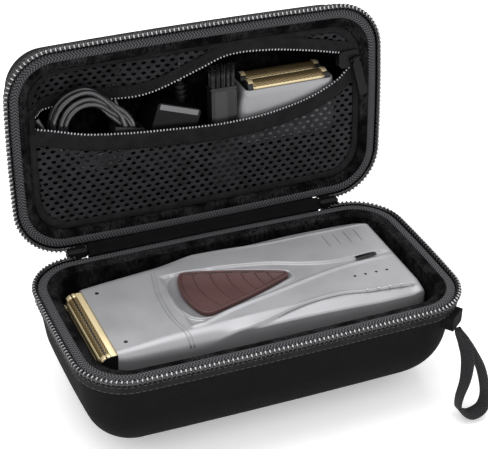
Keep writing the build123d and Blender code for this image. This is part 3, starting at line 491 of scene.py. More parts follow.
def fuzzy(name, dark, light, fibre, roughness=0.95):
    """Brushed cloth with a short nap. fibre is the drawn tuft size in mm."""
    finish, tree, shader = base_material(name, roughness, Specular_IOR_Level=0.08)
    source = add(tree, "ShaderNodeTexCoord").outputs["Object"]
    stretched = add(tree, "ShaderNodeMapping", values={"Scale": (1.0, 1.0, 0.45)},
                    links={"Vector": source}).outputs[0]
    tufts = speckle(tree, stretched, fibre * MM, 4.0, 0.3, 0.7)
    patches = speckle(tree, source, 9 * MM, 2.0)
    level = add(tree, "ShaderNodeMath", {"operation": "MULTIPLY"},
                links={0: tufts, 1: patches}).outputs[0]
    dress(tree, shader, level, dark, light, tufts, 0.8, 0.3)
    return finish


def herringbone(name, dark, light, rib, panel):
    """Webbing with slanted ribs that change direction in each panel across its width, mm."""
    finish, tree, shader = base_material(name, 0.75, Sheen_Weight=0.03, Specular_IOR_Level=0.25)
    source = add(tree, "ShaderNodeTexCoord").outputs["UV"]
    parts = add(tree, "ShaderNodeSeparateXYZ", links={0: source})
    fold = add(tree, "ShaderNodeMath", {"operation": "PINGPONG"}, {1: panel},
               {0: parts.outputs[1]}).outputs[0]
    lean = add(tree, "ShaderNodeMath", {"operation": "MULTIPLY_ADD"}, {1: 0.9},
               {0: fold, 2: parts.outputs[0]}).outputs[0]
    joined = add(tree, "ShaderNodeCombineXYZ", links={0: lean}).outputs[0]
    ribs = add(tree, "ShaderNodeTexWave", {"bands_direction": "X"},
               {"Scale": band_scale(rib)}, {"Vector": joined}).outputs["Fac"]
    dress(tree, shader, ribs, dark, light, ribs, 0.9, 0.3)
    return finish


def dark_bright(text):
    """Dark and bright colour of a cloth, from two hex values in one string."""
    return [srgb(part) for part in text.split()]


def perforated(name, hole, metal, pitch):
    """Thin metal sheet with staggered rows of holes. pitch is their drawn distance in mm."""
    finish, tree, shader = base_material(name, 0.35)
    source = add(tree, "ShaderNodeTexCoord").outputs["UV"]
    waves = []
    for lean in (1, -1):
        turned = add(tree, "ShaderNodeMapping", values={"Rotation": (0, 0, lean * math.pi / 3)},
                     links={"Vector": source}).outputs[0]
        waves.append(add(tree, "ShaderNodeTexWave", {"bands_direction": "X"},
                         {"Scale": band_scale(pitch)}, {"Vector": turned}).outputs["Fac"])
    both = add(tree, "ShaderNodeMath", {"operation": "MULTIPLY"},
               links=dict(enumerate(waves))).outputs[0]
    edge = add(tree, "ShaderNodeMapRange", values={1: 0.3, 2: 0.5}, links={0: both}).outputs[0]
    solid = add(tree, "ShaderNodeMapRange", values={3: 0.6, 4: 0.0}, links={0: edge}).outputs[0]
    tree.links.new(solid, shader.inputs["Metallic"])
    dress(tree, shader, edge, metal, hole, solid, 0.6, 0.1)
    return finish


def make_finishes(colours):
    """Every finish of the case and its contents, by the record's slot."""
    f = {}
    cloth, silver = tuple(colours.cloth) + (1.0,), tuple(colours.silver) + (1.0,)
    gold, maroon = tuple(colours.gold) + (1.0,), tuple(colours.maroon) + (1.0,)
    # woven polyester laminated to EVA foam: matt, faint crossing threads, drawn at 0.7 mm
    f["shell_cloth"] = woven("polyester over EVA, woven", shaded(cloth, 0.28), cloth, 0.7)
    # brushed tricot: soft short nap that breaks the light into tufts, drawn at 1.3 mm
    f["lining_cloth"] = fuzzy("tricot, brushed", *dark_bright("#000000 #242426"), 1.3)
    # the same brushed tricot turned over the edge: short nap, a little worn and lighter
    f["nap_cloth"] = fuzzy("tricot, brushed, over the edge", *dark_bright("#000000 #2E2E30"), 1.0)
    # herringbone ribbon: short slanted ribs that change direction, drawn at 1.4 mm
    f["band_cloth"] = herringbone("polyester ribbon, herringbone woven",
                                  *dark_bright("#000000 #56565A"), 1.4, 1.5)
    # zip tape: close herringbone ribs, flatter and darker than the ribbon
    f["tape_cloth"] = woven("polyester zip tape, woven", *dark_bright("#020202 #262628"), 0.8,
                            0.7, 0.3, "UV")
    # polyamide monofilament: glossy, bright lines of light along each tooth
    f["zip_nylon"] = moulded("polyamide coil, extruded", srgb("#0B0B0C"), 0.2, grain=0.8,
                             Coat_Weight=0.4, Coat_Roughness=0.1)
    # pale pills on the coil's crowns: painted highlight, standing for glints of light above the
    # dark turns
    f["zip_crown"] = moulded("polyamide coil, painted highlight", srgb("#BDBDC1"), 0.15, grain=0.8,
                             Coat_Weight=0.8, Coat_Roughness=0.05)
    # zinc die casting under black stove enamel: smooth, glossy, rounded highlights
    f["slider_metal"] = moulded("zinc, black enamelled", srgb("#050506"), 0.5, grain=1.0,
                                Specular_IOR_Level=0.2)
    # plain-woven webbing of the sewn tabs: crossing threads, drawn at 0.8 mm
    f["plain_weave"] = woven("polyester webbing, plain woven", *dark_bright("#020202 #1C1C1E"),
                             0.8)
    # polyamide webbing: slanted ribs in panels, drawn at 1.1 mm, bright on one side
    f["strap_webbing"] = herringbone("polyamide webbing, herringbone woven",
                                     *dark_bright("#000000 #38383B"), 1.1, 1.1)
    # polyurethane foam: open-cell, dull, finely pitted
    f["foam"] = fuzzy("polyurethane foam, cut", *dark_bright("#020202 #161617"), 1.4, 0.98)
    # warp-knitted polyester net: thin dull strands
    f["mesh"] = woven("polyester net, warp knitted", *dark_bright("#040404 #353538"), 0.6,
                      0.45, 0.12)
    # ABS under satin silver lacquer: fine metallic grain, soft wide highlights
    f["silver_housing"] = moulded("ABS, satin silver lacquered", silver, 0.38, 0.03, 0.3,
                                  0.004, 0.3)
    # the same lacquer, lighter: painted highlight on the nubs' small tips
    f["nub_painted_highlight"] = moulded("ABS, silver lacquered, painted highlight", srgb("#E2E2E4"), 0.25)
    # the same lacquer in the shade of a groove: dull grey line
    f["crease_grey"] = moulded("ABS, lacquered, in a groove", srgb("#727275"), 0.6)
    # steel foil under titanium nitride: warm gold with staggered holes, drawn at 1.0 mm
    f["foil_gold"] = perforated("steel foil, titanium nitride coated", srgb("#2A2012"), gold, 1.0)
    # rolled brass clip: smooth, bright, sharp highlights
    f["clip_gold"] = moulded("brass, polished", srgb("#F0DDB0"), 0.3, 0.06, 0.4, 0.005,
                             0.25)
    # glass-filled ABS: black, fine spark-eroded grain
    f["frame_dark"] = moulded("ABS, black moulded", srgb("#161617"), 0.42)
    # ground stainless steel: narrow streaked highlights
    f["cutter_steel"] = moulded("stainless steel, ground", srgb("#A9A9AC"), 0.3, metallic=1.0)
    # soft-touch polyurethane lacquer: matt, gentle sheen at glancing light
    f["switch_maroon"] = moulded("ABS, maroon soft-touch lacquered", maroon, 0.5, 0.12, 0.3,
                                 0.012, Sheen_Weight=0.15)
    # the same lacquer in the shade of a moulded line
    f["switch_shade"] = moulded("ABS, maroon, in a groove", srgb("#1E0E0D"), 0.6)
    # blackened steel: dark, with a dull metal shine
    f["screw_steel"] = moulded("steel, blackened", srgb("#3A3A3C"), 0.4, metallic=1.0)
    # zinc-plated steel: pale grey metal, slightly cloudy
    f["motor_steel"] = moulded("steel, zinc plated", srgb("#A6A6A8"), 0.3, metallic=1.0)
    # heat-shrunk PVC sleeve: glossy, even colour
    f["battery_wrap"] = moulded("PVC, shrunk blue", srgb("#1F3566"), 0.3)
    # solder mask on glass epoxy: deep green, half gloss
    f["board_green"] = moulded("glass epoxy, green solder mask", srgb("#0E3A1C"), 0.35)
    # smoked acrylic: nearly black, with a weak smooth shine
    f["light_guide"] = moulded("acrylic, smoked", srgb("#08080A"), 0.25,
                               Specular_IOR_Level=0.3)
    # flexible PVC cable jacket: glossy black with long highlights
    f["lead_black"] = moulded("PVC, extruded black", srgb("#2C2C2F"), 0.2, grain=0.8,
                              Coat_Weight=1.0)
    # moulded polycarbonate: black, even satin
    f["adapter_black"] = moulded("polycarbonate, black moulded", srgb("#080809"), 0.45,
                                 Specular_IOR_Level=0.2)
    # moulded ABS, pale: matt strip
    f["pale_grey"] = moulded("ABS, pale grey moulded", srgb("#7A7A7C"), 0.45)
    # moulded ABS, dark grey: satin
    f["brush_grey"] = moulded("ABS, dark grey moulded", srgb("#2C2C2E"), 0.4)
    # extruded polyamide fibre: thin glints along each bristle
    f["bristle"] = moulded("polyamide bristle, extruded", srgb("#242426"), 0.25, grain=0.6)
    # spun sewing thread: slightly lighter than the cloth, with a soft shine
    f["thread"] = moulded("polyester thread, spun", srgb("#2C2C2E"), 0.5, grain=0.2)
    return f


finishes = {}    # filled by the first operator


def use_finish(*nodes):
    """Give solids that keep their own shape the finish of their slot."""
    slots = {part["node"]: part["material_slot"] for part in frame["record"]["subparts"]}
    slots.update(strap_tab="plain_weave", pocket_stop="plain_weave")
    for name in nodes:
        mesh = frame["nodes"][name].data
        if not mesh.materials:
            mesh.materials.append(None)
        for n in range(len(mesh.materials)):
            mesh.materials[n] = finishes[slots[name]]


# ------------------------------------------------------------------ zips, tapes and bands
TOOTH_INSET = TOOTH_DEPTH = 1.3              # of the main coil's middle, from the rim's edge
STITCH_DEPTHS = (3.15, 6.35)                 # of the two stitched lines on the side tape
# sections across the cloths of the rim: inset from its edge, depth under it
BAND_OUTER = [(2.75, 2.3), (2.9, 1.5), (3.4, 1.15), (4.6, 0.98), (5.8, 0.95), (6.5, 1.1),
              (6.6, 1.5)]
BAND_INNER = [(6.3, 1.2), (7.2, 1.1), (8.4, 1.25), (9.4, 1.6), (10.1, 2.2), (10.45, 3.0),
              (10.6, 3.8)]
TAPE_DEPTHS = (2.0, 2.45, 3.1, 4.2, 5.4, 6.5, 7.0, 7.25)
TAPE_TUCKED = (0.9, 0.1, -0.08, -0.1, -0.1, -0.05, 0.2, 1.2)    # inwards from the wall
TAPE_WALLS = {1: (0.486, 0.158), -1: (0.475, 0.213)}    # the wall's inset and its drafted slope


def closed_ring(wide, high, wire, tip, points=14):
    """One turn of a zip's coil, across x, thicker where it locks with the other half."""
    path, radii = [], []
    for k in range(points):
        a = 2 * math.pi * k / points
        path.append((0.3 * math.sin(a), wide * math.cos(a), high * math.sin(a)))
        radii.append(wire + tip * max(0.0, math.cos(a - math.radians(50))) ** 2)
    return tube(path, radii, sides=7, closed=True)


def add_teeth(name, side, sizes):
    """Coil of the main zip round one rim: its turns on their cord, and pale pills on their crowns
    as painted highlights.
    """
    # the halves' teeth stand half a pitch apart, so that they go between each other when shut
    spots = rim_stations(TOOTH_INSET, sizes.tooth_pitch / MM, 0.5 - 0.25 * side)
    frames = [rim_frame(side, spot, TOOTH_DEPTH) for spot in spots]
    ring = closed_ring(0.85, 1.0, sizes.tooth_wire / MM / 2, 0.06)
    core = tube([f @ Vector((0, -0.05, -0.1)) for f in frames], 0.85)
    turns = add_mesh(name, *joined(core, stamp(ring, frames)), PLACE[side],
                     finishes["zip_nylon"])
    # pale pills over the crowns: painted highlight on each turn
    tops = [f @ Matrix.Translation((0, 0.45, 1.0)) @ Matrix.Rotation(-0.5, 4, "X")
            for f in frames]
    painted_glints = add_mesh(name + "_crowns", *stamp(pill(0.85, 1.4, 0.5, 5), tops), PLACE[side],
                      finishes["zip_crown"])
    return turns, painted_glints


def wall_inset(side, depth):
    """Inset of the tape's outer face at a depth."""
    at_rim, slope = TAPE_WALLS[side]
    return at_rim + slope * depth


def add_stitches(name, side, depth, pitch):
    """Row of stitches round the rim, lying on the side tape."""
    frames = [rim_frame(side, spot, depth) @ Matrix.Translation((0, 0.1, 0))
              for spot in rim_stations(wall_inset(side, depth), pitch)]
    return add_mesh(name, *stamp(pill(pitch * 0.72, 0.42, 0.5), frames), PLACE[side],
                    finishes["thread"])


def add_tape(name, side):
    """Zip tape that runs down the outside of the shell."""
    profile = [(wall_inset(side, depth) + tucked, depth)
               for depth, tucked in zip(TAPE_DEPTHS, TAPE_TUCKED)]
    return rim_strip(name, side, profile, finishes["tape_cloth"], half=SPINE_HALF)


def build_rims(sizes):
    """Cloth, tape, teeth and stitches round the rims of both halves."""
    for side, body in HALF.items():
        # woven ribbon beside the zip, then brushed cloth that turns into the hollow
        ribbon = rim_strip(f"{body}_ribbon", side, BAND_OUTER, finishes["band_cloth"])
        settle(ribbon, body, "band_cloth", f"{body}_rim_band")
        nap = rim_strip(f"{body}_nap", side, BAND_INNER, finishes["nap_cloth"])
        settle(nap, body, "band_cloth")
        settle(add_tape(f"{body}_side_tape", side), body, "tape_cloth", f"{body}_zip_tape")
        turns, painted_glints = add_teeth(f"{body}_teeth", side, sizes)
        settle(turns, body, "zip_nylon", f"{body}_zip_coil")
        settle(painted_glints, body, "zip_nylon")
        for depth in STITCH_DEPTHS:
            row = add_stitches(f"{body}_tape_stitches_{depth:.0f}", side, depth,
                               sizes.stitch_pitch / MM)
            settle(row, body, "tape_cloth")


# ------------------------------------------------------------------ hinge strip
# sections across the strip, y and z, from the base's wall over the hinge to the lid's
HINGE_OUTSIDE = [(46.6, 43.2), (47.0, 45.0), (47.25, 47.2), (47.5, 48.7), (48.1, 49.6),
                 (49.0, 50.3), (50.3, 50.2), (52.5, 49.6), (55.5, 49.2), (59.0, 49.2)]
HINGE_INSIDE = [(45.0, 48.7), (45.6, 49.4), (46.4, 50.0), (47.2, 50.7), (47.6, 51.5),
                (48.2, 52.2), (49.2, 52.6)]


def build_hinge_strip():
    """One strip of cloth that bends from the base's back wall to the lid's."""
    rows_along = 90
    for name, section, nodes in (("hinge_cloth", HINGE_OUTSIDE, ("base_spine", "lid_spine")),
                                 ("hinge_cloth_inner", HINGE_INSIDE, ())):
        rows = []
        for n in range(rows_along):
            x = -SPINE_HALF + 2 * SPINE_HALF * n / (rows_along - 1)
            wave = 0.06 * math.sin(x * 0.9) + 0.05 * math.sin(x * 0.37)
            rows.append([(x, y + wave, z + wave) for y, z in section])
        piece = thicken(add_mesh(name, flat(rows), grid(rows), BASE, finishes["shell_cloth"],
                                 grid_uvs(rows)), 0.8)
        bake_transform(piece)
        if nodes:
            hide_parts(*nodes)


# ------------------------------------------------------------------ wrist strap
def smooth_path(points, steps=8):
    """Points of a smooth curve through these points."""
    out = []
    last = len(points) - 1
    for n in range(last):
        p = [Vector(points[min(max(n + k, 0), last)]) for k in (-1, 0, 1, 2)]
        for step in range(steps):
            t = step / steps
            out.append(0.5 * (2 * p[1] + (p[2] - p[0]) * t
                              + (2 * p[0] - 5 * p[1] + 4 * p[2] - p[3]) * t ** 2
                              + (3 * p[1] - p[0] - 3 * p[2] + p[3]) * t ** 3))
    return out + [Vector(points[-1])]


# line of the loop in its own plane, from under the tab round and back
STRAP_LINE = [(0.62, 0.85), (1.0, -1.0), (2.6, -5), (5.3, -11), (7.9, -18.5), (8.4, -27.5),
              (7.2, -32.6), (4.6, -36.0), (-1, -37.1), (-5.4, -33.8), (-4.5, -29.2), (-0.2, -22),
              (2.4, -13.7), (2.2, -7), (-0.3, -1.0), (-0.62, 0.85)]
# turn of the webbing round its own line, radians, by the share of its length
STRAP_TURN = [(0.0, 0.1), (0.2, 0.05), (0.38, 0.1), (0.5, 0.6), (0.6, 0.25), (0.7, -0.02),
              (0.84, -0.5), (1.0, -0.15)]
STRAP_ROOT, STRAP_LEAN = (79.71, -43.58, 34.8), math.radians(29)
STRAP_HALF, STRAP_NECK, STRAP_THICK = 3.3, 0.6, 0.6    # half widths, and half its thickness


def strap_section(half):
    """Outline across the webbing, with rounded edges: across it and through it."""
    corners = [(-half, -STRAP_THICK), (half, -STRAP_THICK), (half + 0.3, 0),
               (half, STRAP_THICK), (-half, STRAP_THICK), (-half - 0.3, 0)]
    return [(a[0] + (b[0] - a[0]) * k / 4, a[1] + (b[1] - a[1]) * k / 4)
            for a, b in zip(corners, corners[1:] + corners[:1]) for k in range(4)]


def build_strap():
    """Loop of flat webbing that narrows where it goes under its sewn tab."""
    c, s = math.cos(STRAP_LEAN), math.sin(STRAP_LEAN)
    plane = axes(STRAP_ROOT, (1, 0, 0), (0, s, c), (0, -c, s))
    path = smooth_path([(x, y, 0) for x, y in STRAP_LINE])
    last, up = len(path) - 1, Vector((0, 0, 1))
    rows, uvs, along = [], [], 0.0
    for n, point in enumerate(path):
        ahead = (path[min(n + 1, last)] - path[max(n - 1, 0)]).normalized()
        out = Vector((-ahead.y, ahead.x, 0))
        along += (point - path[n - 1]).length if n else 0.0
        share = n / last
        turn = curve_at(STRAP_TURN, share)
        over = up * math.cos(turn) + out * math.sin(turn)
        face = out * math.cos(turn) - up * math.sin(turn)
        wider = smooth_steps(0.02, 0.15, min(share, 1 - share))
        half = STRAP_NECK + (STRAP_HALF - STRAP_NECK) * wider
        section = strap_section(half)
        rows.append([tuple(point + over * w + face * t) for w, t in section])
        uvs += [(along, w + half) for w, _ in section]
    piece = add_mesh("strap_loop", flat(rows), grid(rows, close_points=True), BASE @ plane,
                     finishes["strap_webbing"], uvs)
    settle(piece, "wrist_strap", "strap_webbing", "wrist_strap")
    bars = [plane @ Matrix.Translation((3.0, y, 0)) for y in (-4.4, -6.2)]
    sewn = add_mesh("strap_stitches", *stamp(pill(0.9, 0.5, 2.6), bars), BASE,
                    finishes["thread"])
    settle(sewn, "wrist_strap", "strap_webbing")


# ------------------------------------------------------------------ mesh pocket
PANEL_GAPS = {"upper": 4.6, "lower": 6.6}    # from the mouth to where the net begins
NET_INSET = 12.3                             # from the rim to where the net ends
BORDER_INSETS = (10.35, 13.6)                # edges of the strip that sews the net down
HOLE_POINTS = 12
POCKET_PITCH = 1.5                           # between the pocket zip's teeth


def mouth_edges(x):
    """Upper edge, its depth and the lower edge of the pocket's mouth at x."""
    return tuple(curve_at(MOUTH, x, column) for column in (1, 2, 3))


def beyond_mouth(half, x, y, gap):
    """Whether a place on the upper or lower panel is at least this far from the mouth."""
    upper, _, lower = mouth_edges(x)
    return y < upper - gap if half == "upper" else y > lower + gap


def pocket_depth(x, y):
    """Depth of the pocket's cloth under a place on the lid."""
    upper, depth, _ = mouth_edges(x)
    start = upper - 4.5
    if y >= start:
        return depth if y <= upper + 0.01 else POCKET_DEPTH
    share = (start - y) / (start + HINGE_Y)
    far_end = 4.0 + 0.35 * (depth - POCKET_DEPTH)    # depth where the cloth meets the hinge
    return depth + (far_end - depth) * share


def add_net(name, half, sizes):
    """Knitted net with real holes, from six-sided cells, and its flat size and area in m."""
    column, row = sizes.net_column / MM, sizes.net_row / MM
    rise = (column ** 2 / 4 + row ** 2) / (2 * row)
    corners = [(0, rise), (column / 2, row - rise), (column / 2, rise - row), (0, -rise),
               (-column / 2, rise - row), (-column / 2, row - rise)]
    edge = []
    for a, b in zip(corners, corners[1:] + corners[:1]):
        edge += [a, ((a[0] + b[0]) / 2, (a[1] + b[1]) / 2)]
    turns = [2 * math.pi * k / HOLE_POINTS for k in range(HOLE_POINTS)]
    hole = [(0.25 * column * math.sin(a), 0.27 * row * math.cos(a)) for a in turns]
    strands = grid([edge, hole], close_points=True)
    sewn_line = [place[:2] for place in rim_line(NET_INSET, eased_corner(NET_INSET))]
    cells, shapes = [], []
    for j in range(-25, 26):
        for i in range(-20, 21):
            cx, cy = (i + 0.5 * (j % 2)) * column, j * row
            if (beyond_mouth(half, cx, cy, PANEL_GAPS[half])
                    and inside_outline(sewn_line, cx, cy)):
                cells.append((cx, cy))
                points = [(cx + x, cy + y) for x, y in edge + hole]
                shapes.append(([(x, y, depth_z(-1, pocket_depth(x, y))) for x, y in points],
                               strands))
    piece = thicken(add_mesh(name, *joined(*shapes), LID, finishes["mesh"]), 0.55)
    rounder = piece.modifiers.new("round", "SUBSURF")
    rounder.levels = rounder.render_levels = 1
    wide, long = (max(c[n] for c in cells) - min(c[n] for c in cells) for n in (0, 1))
    return piece, (wide * MM, long * MM), len(cells) * column * row * MM * MM


def add_net_border(name, half):
    """Plain woven strip where the net is sewn to the lining."""
    outer, inner = (rim_line(inset, eased_corner(inset)) for inset in BORDER_INSETS)
    count = len(outer) - 1
    marks = [beyond_mouth(half, x, y, 1.0) for x, y, _, _ in inner[:count]]
    first = next(n for n in range(count) if marks[n] and not marks[n - 1])
    rows = []
    for k in range(count):
        n = (first + k) % count
        if not marks[n]:
            break
        (ox, oy), (ix, iy) = outer[n][:2], inner[n][:2]
        deep = min(pocket_depth(ix, iy), 6.0) - 0.25
        rows.append([(ox + (ix - ox) * share, oy + (iy - oy) * share,
                      depth_z(-1, deep - 0.5 * math.sin(math.pi * share)))
                     for share in (0, 0.25, 0.5, 0.75, 1)])
    return thicken(add_mesh(name, flat(rows), grid(rows), LID, finishes["tape_cloth"],
                            grid_uvs(rows)), 0.5)


def add_pocket_tape(name, half):
    """Zip tape along one edge of the mouth, with its stitched line."""
    rows, stitches = [], []
    for n in range(155):
        x = -77.0 + n
        upper, depth, lower = mouth_edges(x)
        if half == "upper":
            start, wide, deep = upper, -5.4, depth
        else:
            start, wide, deep = lower, 7.4, POCKET_DEPTH
        rows.append([(x, start + wide * share,
                      depth_z(-1, deep - 0.25 - 0.28 * math.sin(math.pi * share) ** 0.5))
                     for share in (0, 0.08, 0.3, 0.55, 0.8, 0.93, 1)])
        if n % 2 == 0 and 1 < n < 153:
            line = start + wide - math.copysign(1.3, wide)
            stitches.append(Matrix.Translation((x, line, depth_z(-1, deep - 0.56))))
    piece = thicken(add_mesh(name, flat(rows), grid(rows), LID, finishes["tape_cloth"],
                             grid_uvs(rows)), 0.6)
    sewn = add_mesh(name + "_stitches", *stamp(pill(1.4, 0.4, 0.4), stitches), LID,
                    finishes["thread"])
    return piece, sewn


def add_pocket_coil(name, half):
    """Small zip teeth along one edge of the mouth, and pale pills on their crowns as painted
    highlights.
    """
    frames, travelled, last = [], 0.0, None
    for n in range(1520):
        x = -76.0 + n * 0.1
        upper, depth, lower = mouth_edges(x)
        y, deep = (upper, depth) if half == "upper" else (lower, POCKET_DEPTH)
        spot = Vector((x, y, depth_z(-1, deep)))
        if last is not None:
            step = spot - last
            travelled += step.length
            if travelled >= POCKET_PITCH:
                travelled -= POCKET_PITCH
                ahead = step.normalized()
                side = Vector((0, 0, 1)).cross(ahead).normalized()
                frames.append(axes(spot, ahead, side, ahead.cross(side)))
        last = spot
    turns = add_mesh(name, *stamp(closed_ring(0.55, 0.55, 0.24, 0.12), frames), LID,
                     finishes["zip_nylon"])
    # pale pills over the crowns: painted highlight on each turn
    tops = [f @ Matrix.Translation((0, 0, -0.62)) for f in frames]
    painted_glints = add_mesh(name + "_crowns", *stamp(pill(0.75, 1.0, 0.4, 4, 6), tops), LID,
                      finishes["zip_crown"])
    return turns, painted_glints


def build_pocket(sizes):
    """Net, border, tape and teeth of the pocket's upper and lower panel."""
    for half in ("upper", "lower"):
        panel, flat_size, area = add_net(f"pocket_{half}_net", half, sizes)
        settle(panel, "lid", "mesh", f"pocket_{half}_panel")
        border = settle(add_net_border(f"pocket_{half}_border", half), "lid", "tape_cloth")
        tape, sewn = add_pocket_tape(f"pocket_{half}_zip_tape", half)
        settle(tape, "lid", "tape_cloth", f"pocket_{half}_tape")
        settle(sewn, "lid", "tape_cloth")
        turns, painted_glints = add_pocket_coil(f"pocket_{half}_teeth", half)
        settle(turns, "lid", "zip_nylon", f"pocket_{half}_coil")
        settle(painted_glints, "lid", "zip_nylon")


# ------------------------------------------------------------------ lead
LEAD_WIDTH = 2.4
# the hank's outer and inner edge as seen from the front, and its middle
HANK_OUTER = [(-68, -13), (-62, -22), (-50, -26), (-38, -17), (-27.5, -4), (-28.5, 5),
              (-35, 13), (-47, 16), (-60, 10), (-66.5, -1)]
HANK_INNER = [(-57, -10), (-53, -14), (-47, -14.5), (-40, -8), (-34.5, 0), (-37, 6), (-46, 8),
              (-54, 3)]
HANK_MIDDLE = (-46.5, -3.5)
# each turn's share of the way from the inner to the outer edge, and its depth
HANK_TURNS = ((0.88, 10.9), (0.62, 11.0), (0.36, 10.9), (0.14, 10.8), (0.24, 8.0), (0.5, 7.8),
              (0.76, 7.7), (0.9, 7.6), (0.6, 7.2))
TURN_POINTS = 16
# x, y and depth in the shut lid: from the adapter's boot to the hank, and on to the plug
LEAD_TAIL = [(-4.8, -17.5, 15.3), (-4.8, -24.0, 15.3), (-5.6, -31.0, 15.4), (-10.5, -34.6, 16.0),
             (-17.5, -35.4, 17.2), (-25.0, -33.4, 18.6), (-31.2, -28.0, 18.8),
             (-34.6, -21.0, 17.4), (-35.4, -14.4, 15.0), (-33.4, -8.6, 12.4)]
LEAD_END = [(-31.6, 5.0, 7.2), (-37.5, 10.8, 7.4), (-45.5, 13.0, 7.8), (-53.5, 11.4, 8.2),
            (-59.0, 7.6, 8.6), (-63.2, 3.4, 8.9), (-65.2, 0.9, 9.0), (-66.3, -1.0, 9.0)]


def loop_reach(loop, angle):
    """Distance from the hank's middle to a loop in a direction."""
    middle_x, middle_y = HANK_MIDDLE
    points = sorted((math.atan2(y - middle_y, x - middle_x),
                     math.hypot(x - middle_x, y - middle_y)) for x, y in loop)
    angle = (angle + math.pi) % (2 * math.pi) - math.pi
    points = [(points[-1][0] - 2 * math.pi, points[-1][1])] + points
    points += [(points[1][0] + 2 * math.pi, points[1][1])]
    for (a, ra), (b, rb) in zip(points, points[1:]):
        if a <= angle <= b:
            return ra + (rb - ra) * smooth_steps(a, b, angle)
    return points[0][1]


def lead_path(turns):
    """Line of the lead in the shut lid: tail, turns of the hank, and its end at the plug."""
    path = list(LEAD_TAIL)
    for n in range(turns * TURN_POINTS):
        share = n / TURN_POINTS
        k = int(share)
        here, after = HANK_TURNS[k % len(HANK_TURNS)], HANK_TURNS[(k + 1) % len(HANK_TURNS)]
        ease = smooth_steps(0.72, 1.0, share - k)
        angle = -0.1 + 2 * math.pi * share
        # each turn wanders a little, so that they lie as if wound by hand
        spread = 1 + 0.12 * math.sin(2.4 * k) * math.sin(angle / 2) ** 2
        across = (here[0] + (after[0] - here[0]) * ease) * spread
        depth = here[1] + (after[1] - here[1]) * ease
        depth += 0.35 * math.sin(angle + 1.7 * k)
        low = loop_reach(HANK_INNER, angle)
        high = loop_reach(HANK_OUTER, angle) - LEAD_WIDTH / 2
        reach = low + (high - low) * min(max(across, 0.05), 1.0)
        path.append((HANK_MIDDLE[0] + reach * math.cos(angle),
                     HANK_MIDDLE[1] + reach * math.sin(angle), depth))
    return path + LEAD_END


def build_lead(sizes):
    """Lead from the adapter's boot through its hank to the plug, as one cord."""
    path = [LID @ Vector((x, y, depth_z(-1, depth))) for x, y, depth in
            lead_path(sizes.lead_turns)]
    curve = bpy.data.curves.new("lead_cord", "CURVE")
    curve.dimensions = "3D"
    curve.bevel_depth = LEAD_WIDTH / 2 * MM
    curve.bevel_resolution = 4
    curve.use_fill_caps = True
    line = curve.splines.new("NURBS")
    line.points.add(len(path) - 1)
    for point, spot in zip(line.points, path):
        point.co = (*spot, 1.0)
    line.order_u = 3
    line.use_endpoint_u = True
    line.resolution_u = 6
    curve.materials.append(finishes["lead_black"])
    lead = bpy.data.objects.new("lead_cord", curve)
    bpy.context.scene.collection.objects.link(lead)
    settle(lead, "lid", "lead_black", "lead_hank", "lead_tail")


# ------------------------------------------------------------------ brush
BRUSH_X, TUFT_DEPTH = 12.6, 6.9          # middle of the brush, and depth of its first row
TUFT_GAP, ROW_GAP = 2.3, 1.6
TUFTS, TUFT_ROWS, BRISTLES = 5, 3, 26


def bristle(rng, x, depth):
    """One bristle of the tuft at x and depth, spreading towards its tip."""
    a, r = rng.uniform(0, 2 * math.pi), 0.72 * math.sqrt(rng.random())
    dx, dz = r * math.cos(a), r * math.sin(a)
    spread = 1.5 + rng.uniform(-0.15, 0.15)
    tip = rng.uniform(-26.0, -24.9)
    z = depth_z(-1, depth)
    return tube([(x + dx, -14.0, z + dz), (x + dx * 1.2, -20.0, z + dz * 1.15),
                 (x + dx * spread, tip, z + dz * spread)], [0.13, 0.12, 0.09], sides=5)


def build_brush():
    """Three rows of bristle tufts in the brush's head."""
    rng = random.Random(7)
    verts, faces = rounded_box(12.6, 1.4, 5.4, 0.3)
    body = add_mesh("brush_ferrule",
                    [(x + BRUSH_X, y - 14.2, z + depth_z(-1, 8.5)) for x, y, z in verts], faces,
                    LID, finishes["frame_dark"])
    bristles = [bristle(rng, BRUSH_X + TUFT_GAP * (column - TUFTS // 2),
                        TUFT_DEPTH + ROW_GAP * row)
                for column in range(TUFTS) for row in range(TUFT_ROWS) for _ in range(BRISTLES)]
    tufts = add_mesh("brush_tufts", *joined(*bristles), LID, finishes["bristle"], weld=False)
    settle(tufts, "lid", "bristle", "brush_bristles")
    settle(body, "lid", "frame_dark")


# ------------------------------------------------------------------ foils of both heads
# of a foil, mm: its length, its arch's radius and height, the legs under it, the plain ends
FoilShape = namedtuple("FoilShape", "length radius centre leg ends")
SHAVER_FOIL = FoilShape(47.6, 4.1, 2.9, 4.2, 1.0)
SPARE_FOIL = FoilShape(39.5, 3.7, 1.8, 1.8, 2.4)
SHAVER_SHIFT, SPARE_SHIFT = 4.9, 4.25    # of a foil from the middle of its head
CLIP_LENGTH = 2.6                        # of the shaver's clips along a foil


def foil_points(shape, shift, lift=0.0):
    """Profile of a bent foil, from one leg over its arch to the other: (out, across)."""
    r = shape.radius + lift
    legs = (-shape.leg, -shape.leg * 0.4, shape.centre * 0.6)
    arch = [(shape.centre + r * math.sin(a), shift + r * math.cos(a))
            for a in (math.pi * k / 20 for k in range(21))]
    return ([(out, shift + r) for out in legs] + arch
            + [(out, shift - r) for out in reversed(legs)])


def foil_strip(profile, low, high, steps):
    """Rows of a strip that follows the profile from low to high along the foil."""
    return [[(low + (high - low) * k / steps, out, across) for out, across in profile]
            for k in range(steps + 1)]


def add_foil(name, place, shape, shift):
    """Perforated foil as a sheet of its own thickness, between its plain ends."""
    end = shape.length / 2 - shape.ends
    rows = foil_strip(foil_points(shape, shift), -end, end, 24)
    return thicken(add_mesh(name, flat(rows), grid(rows), place, finishes["foil_gold"],
                            grid_uvs(rows)), 0.3, -1)


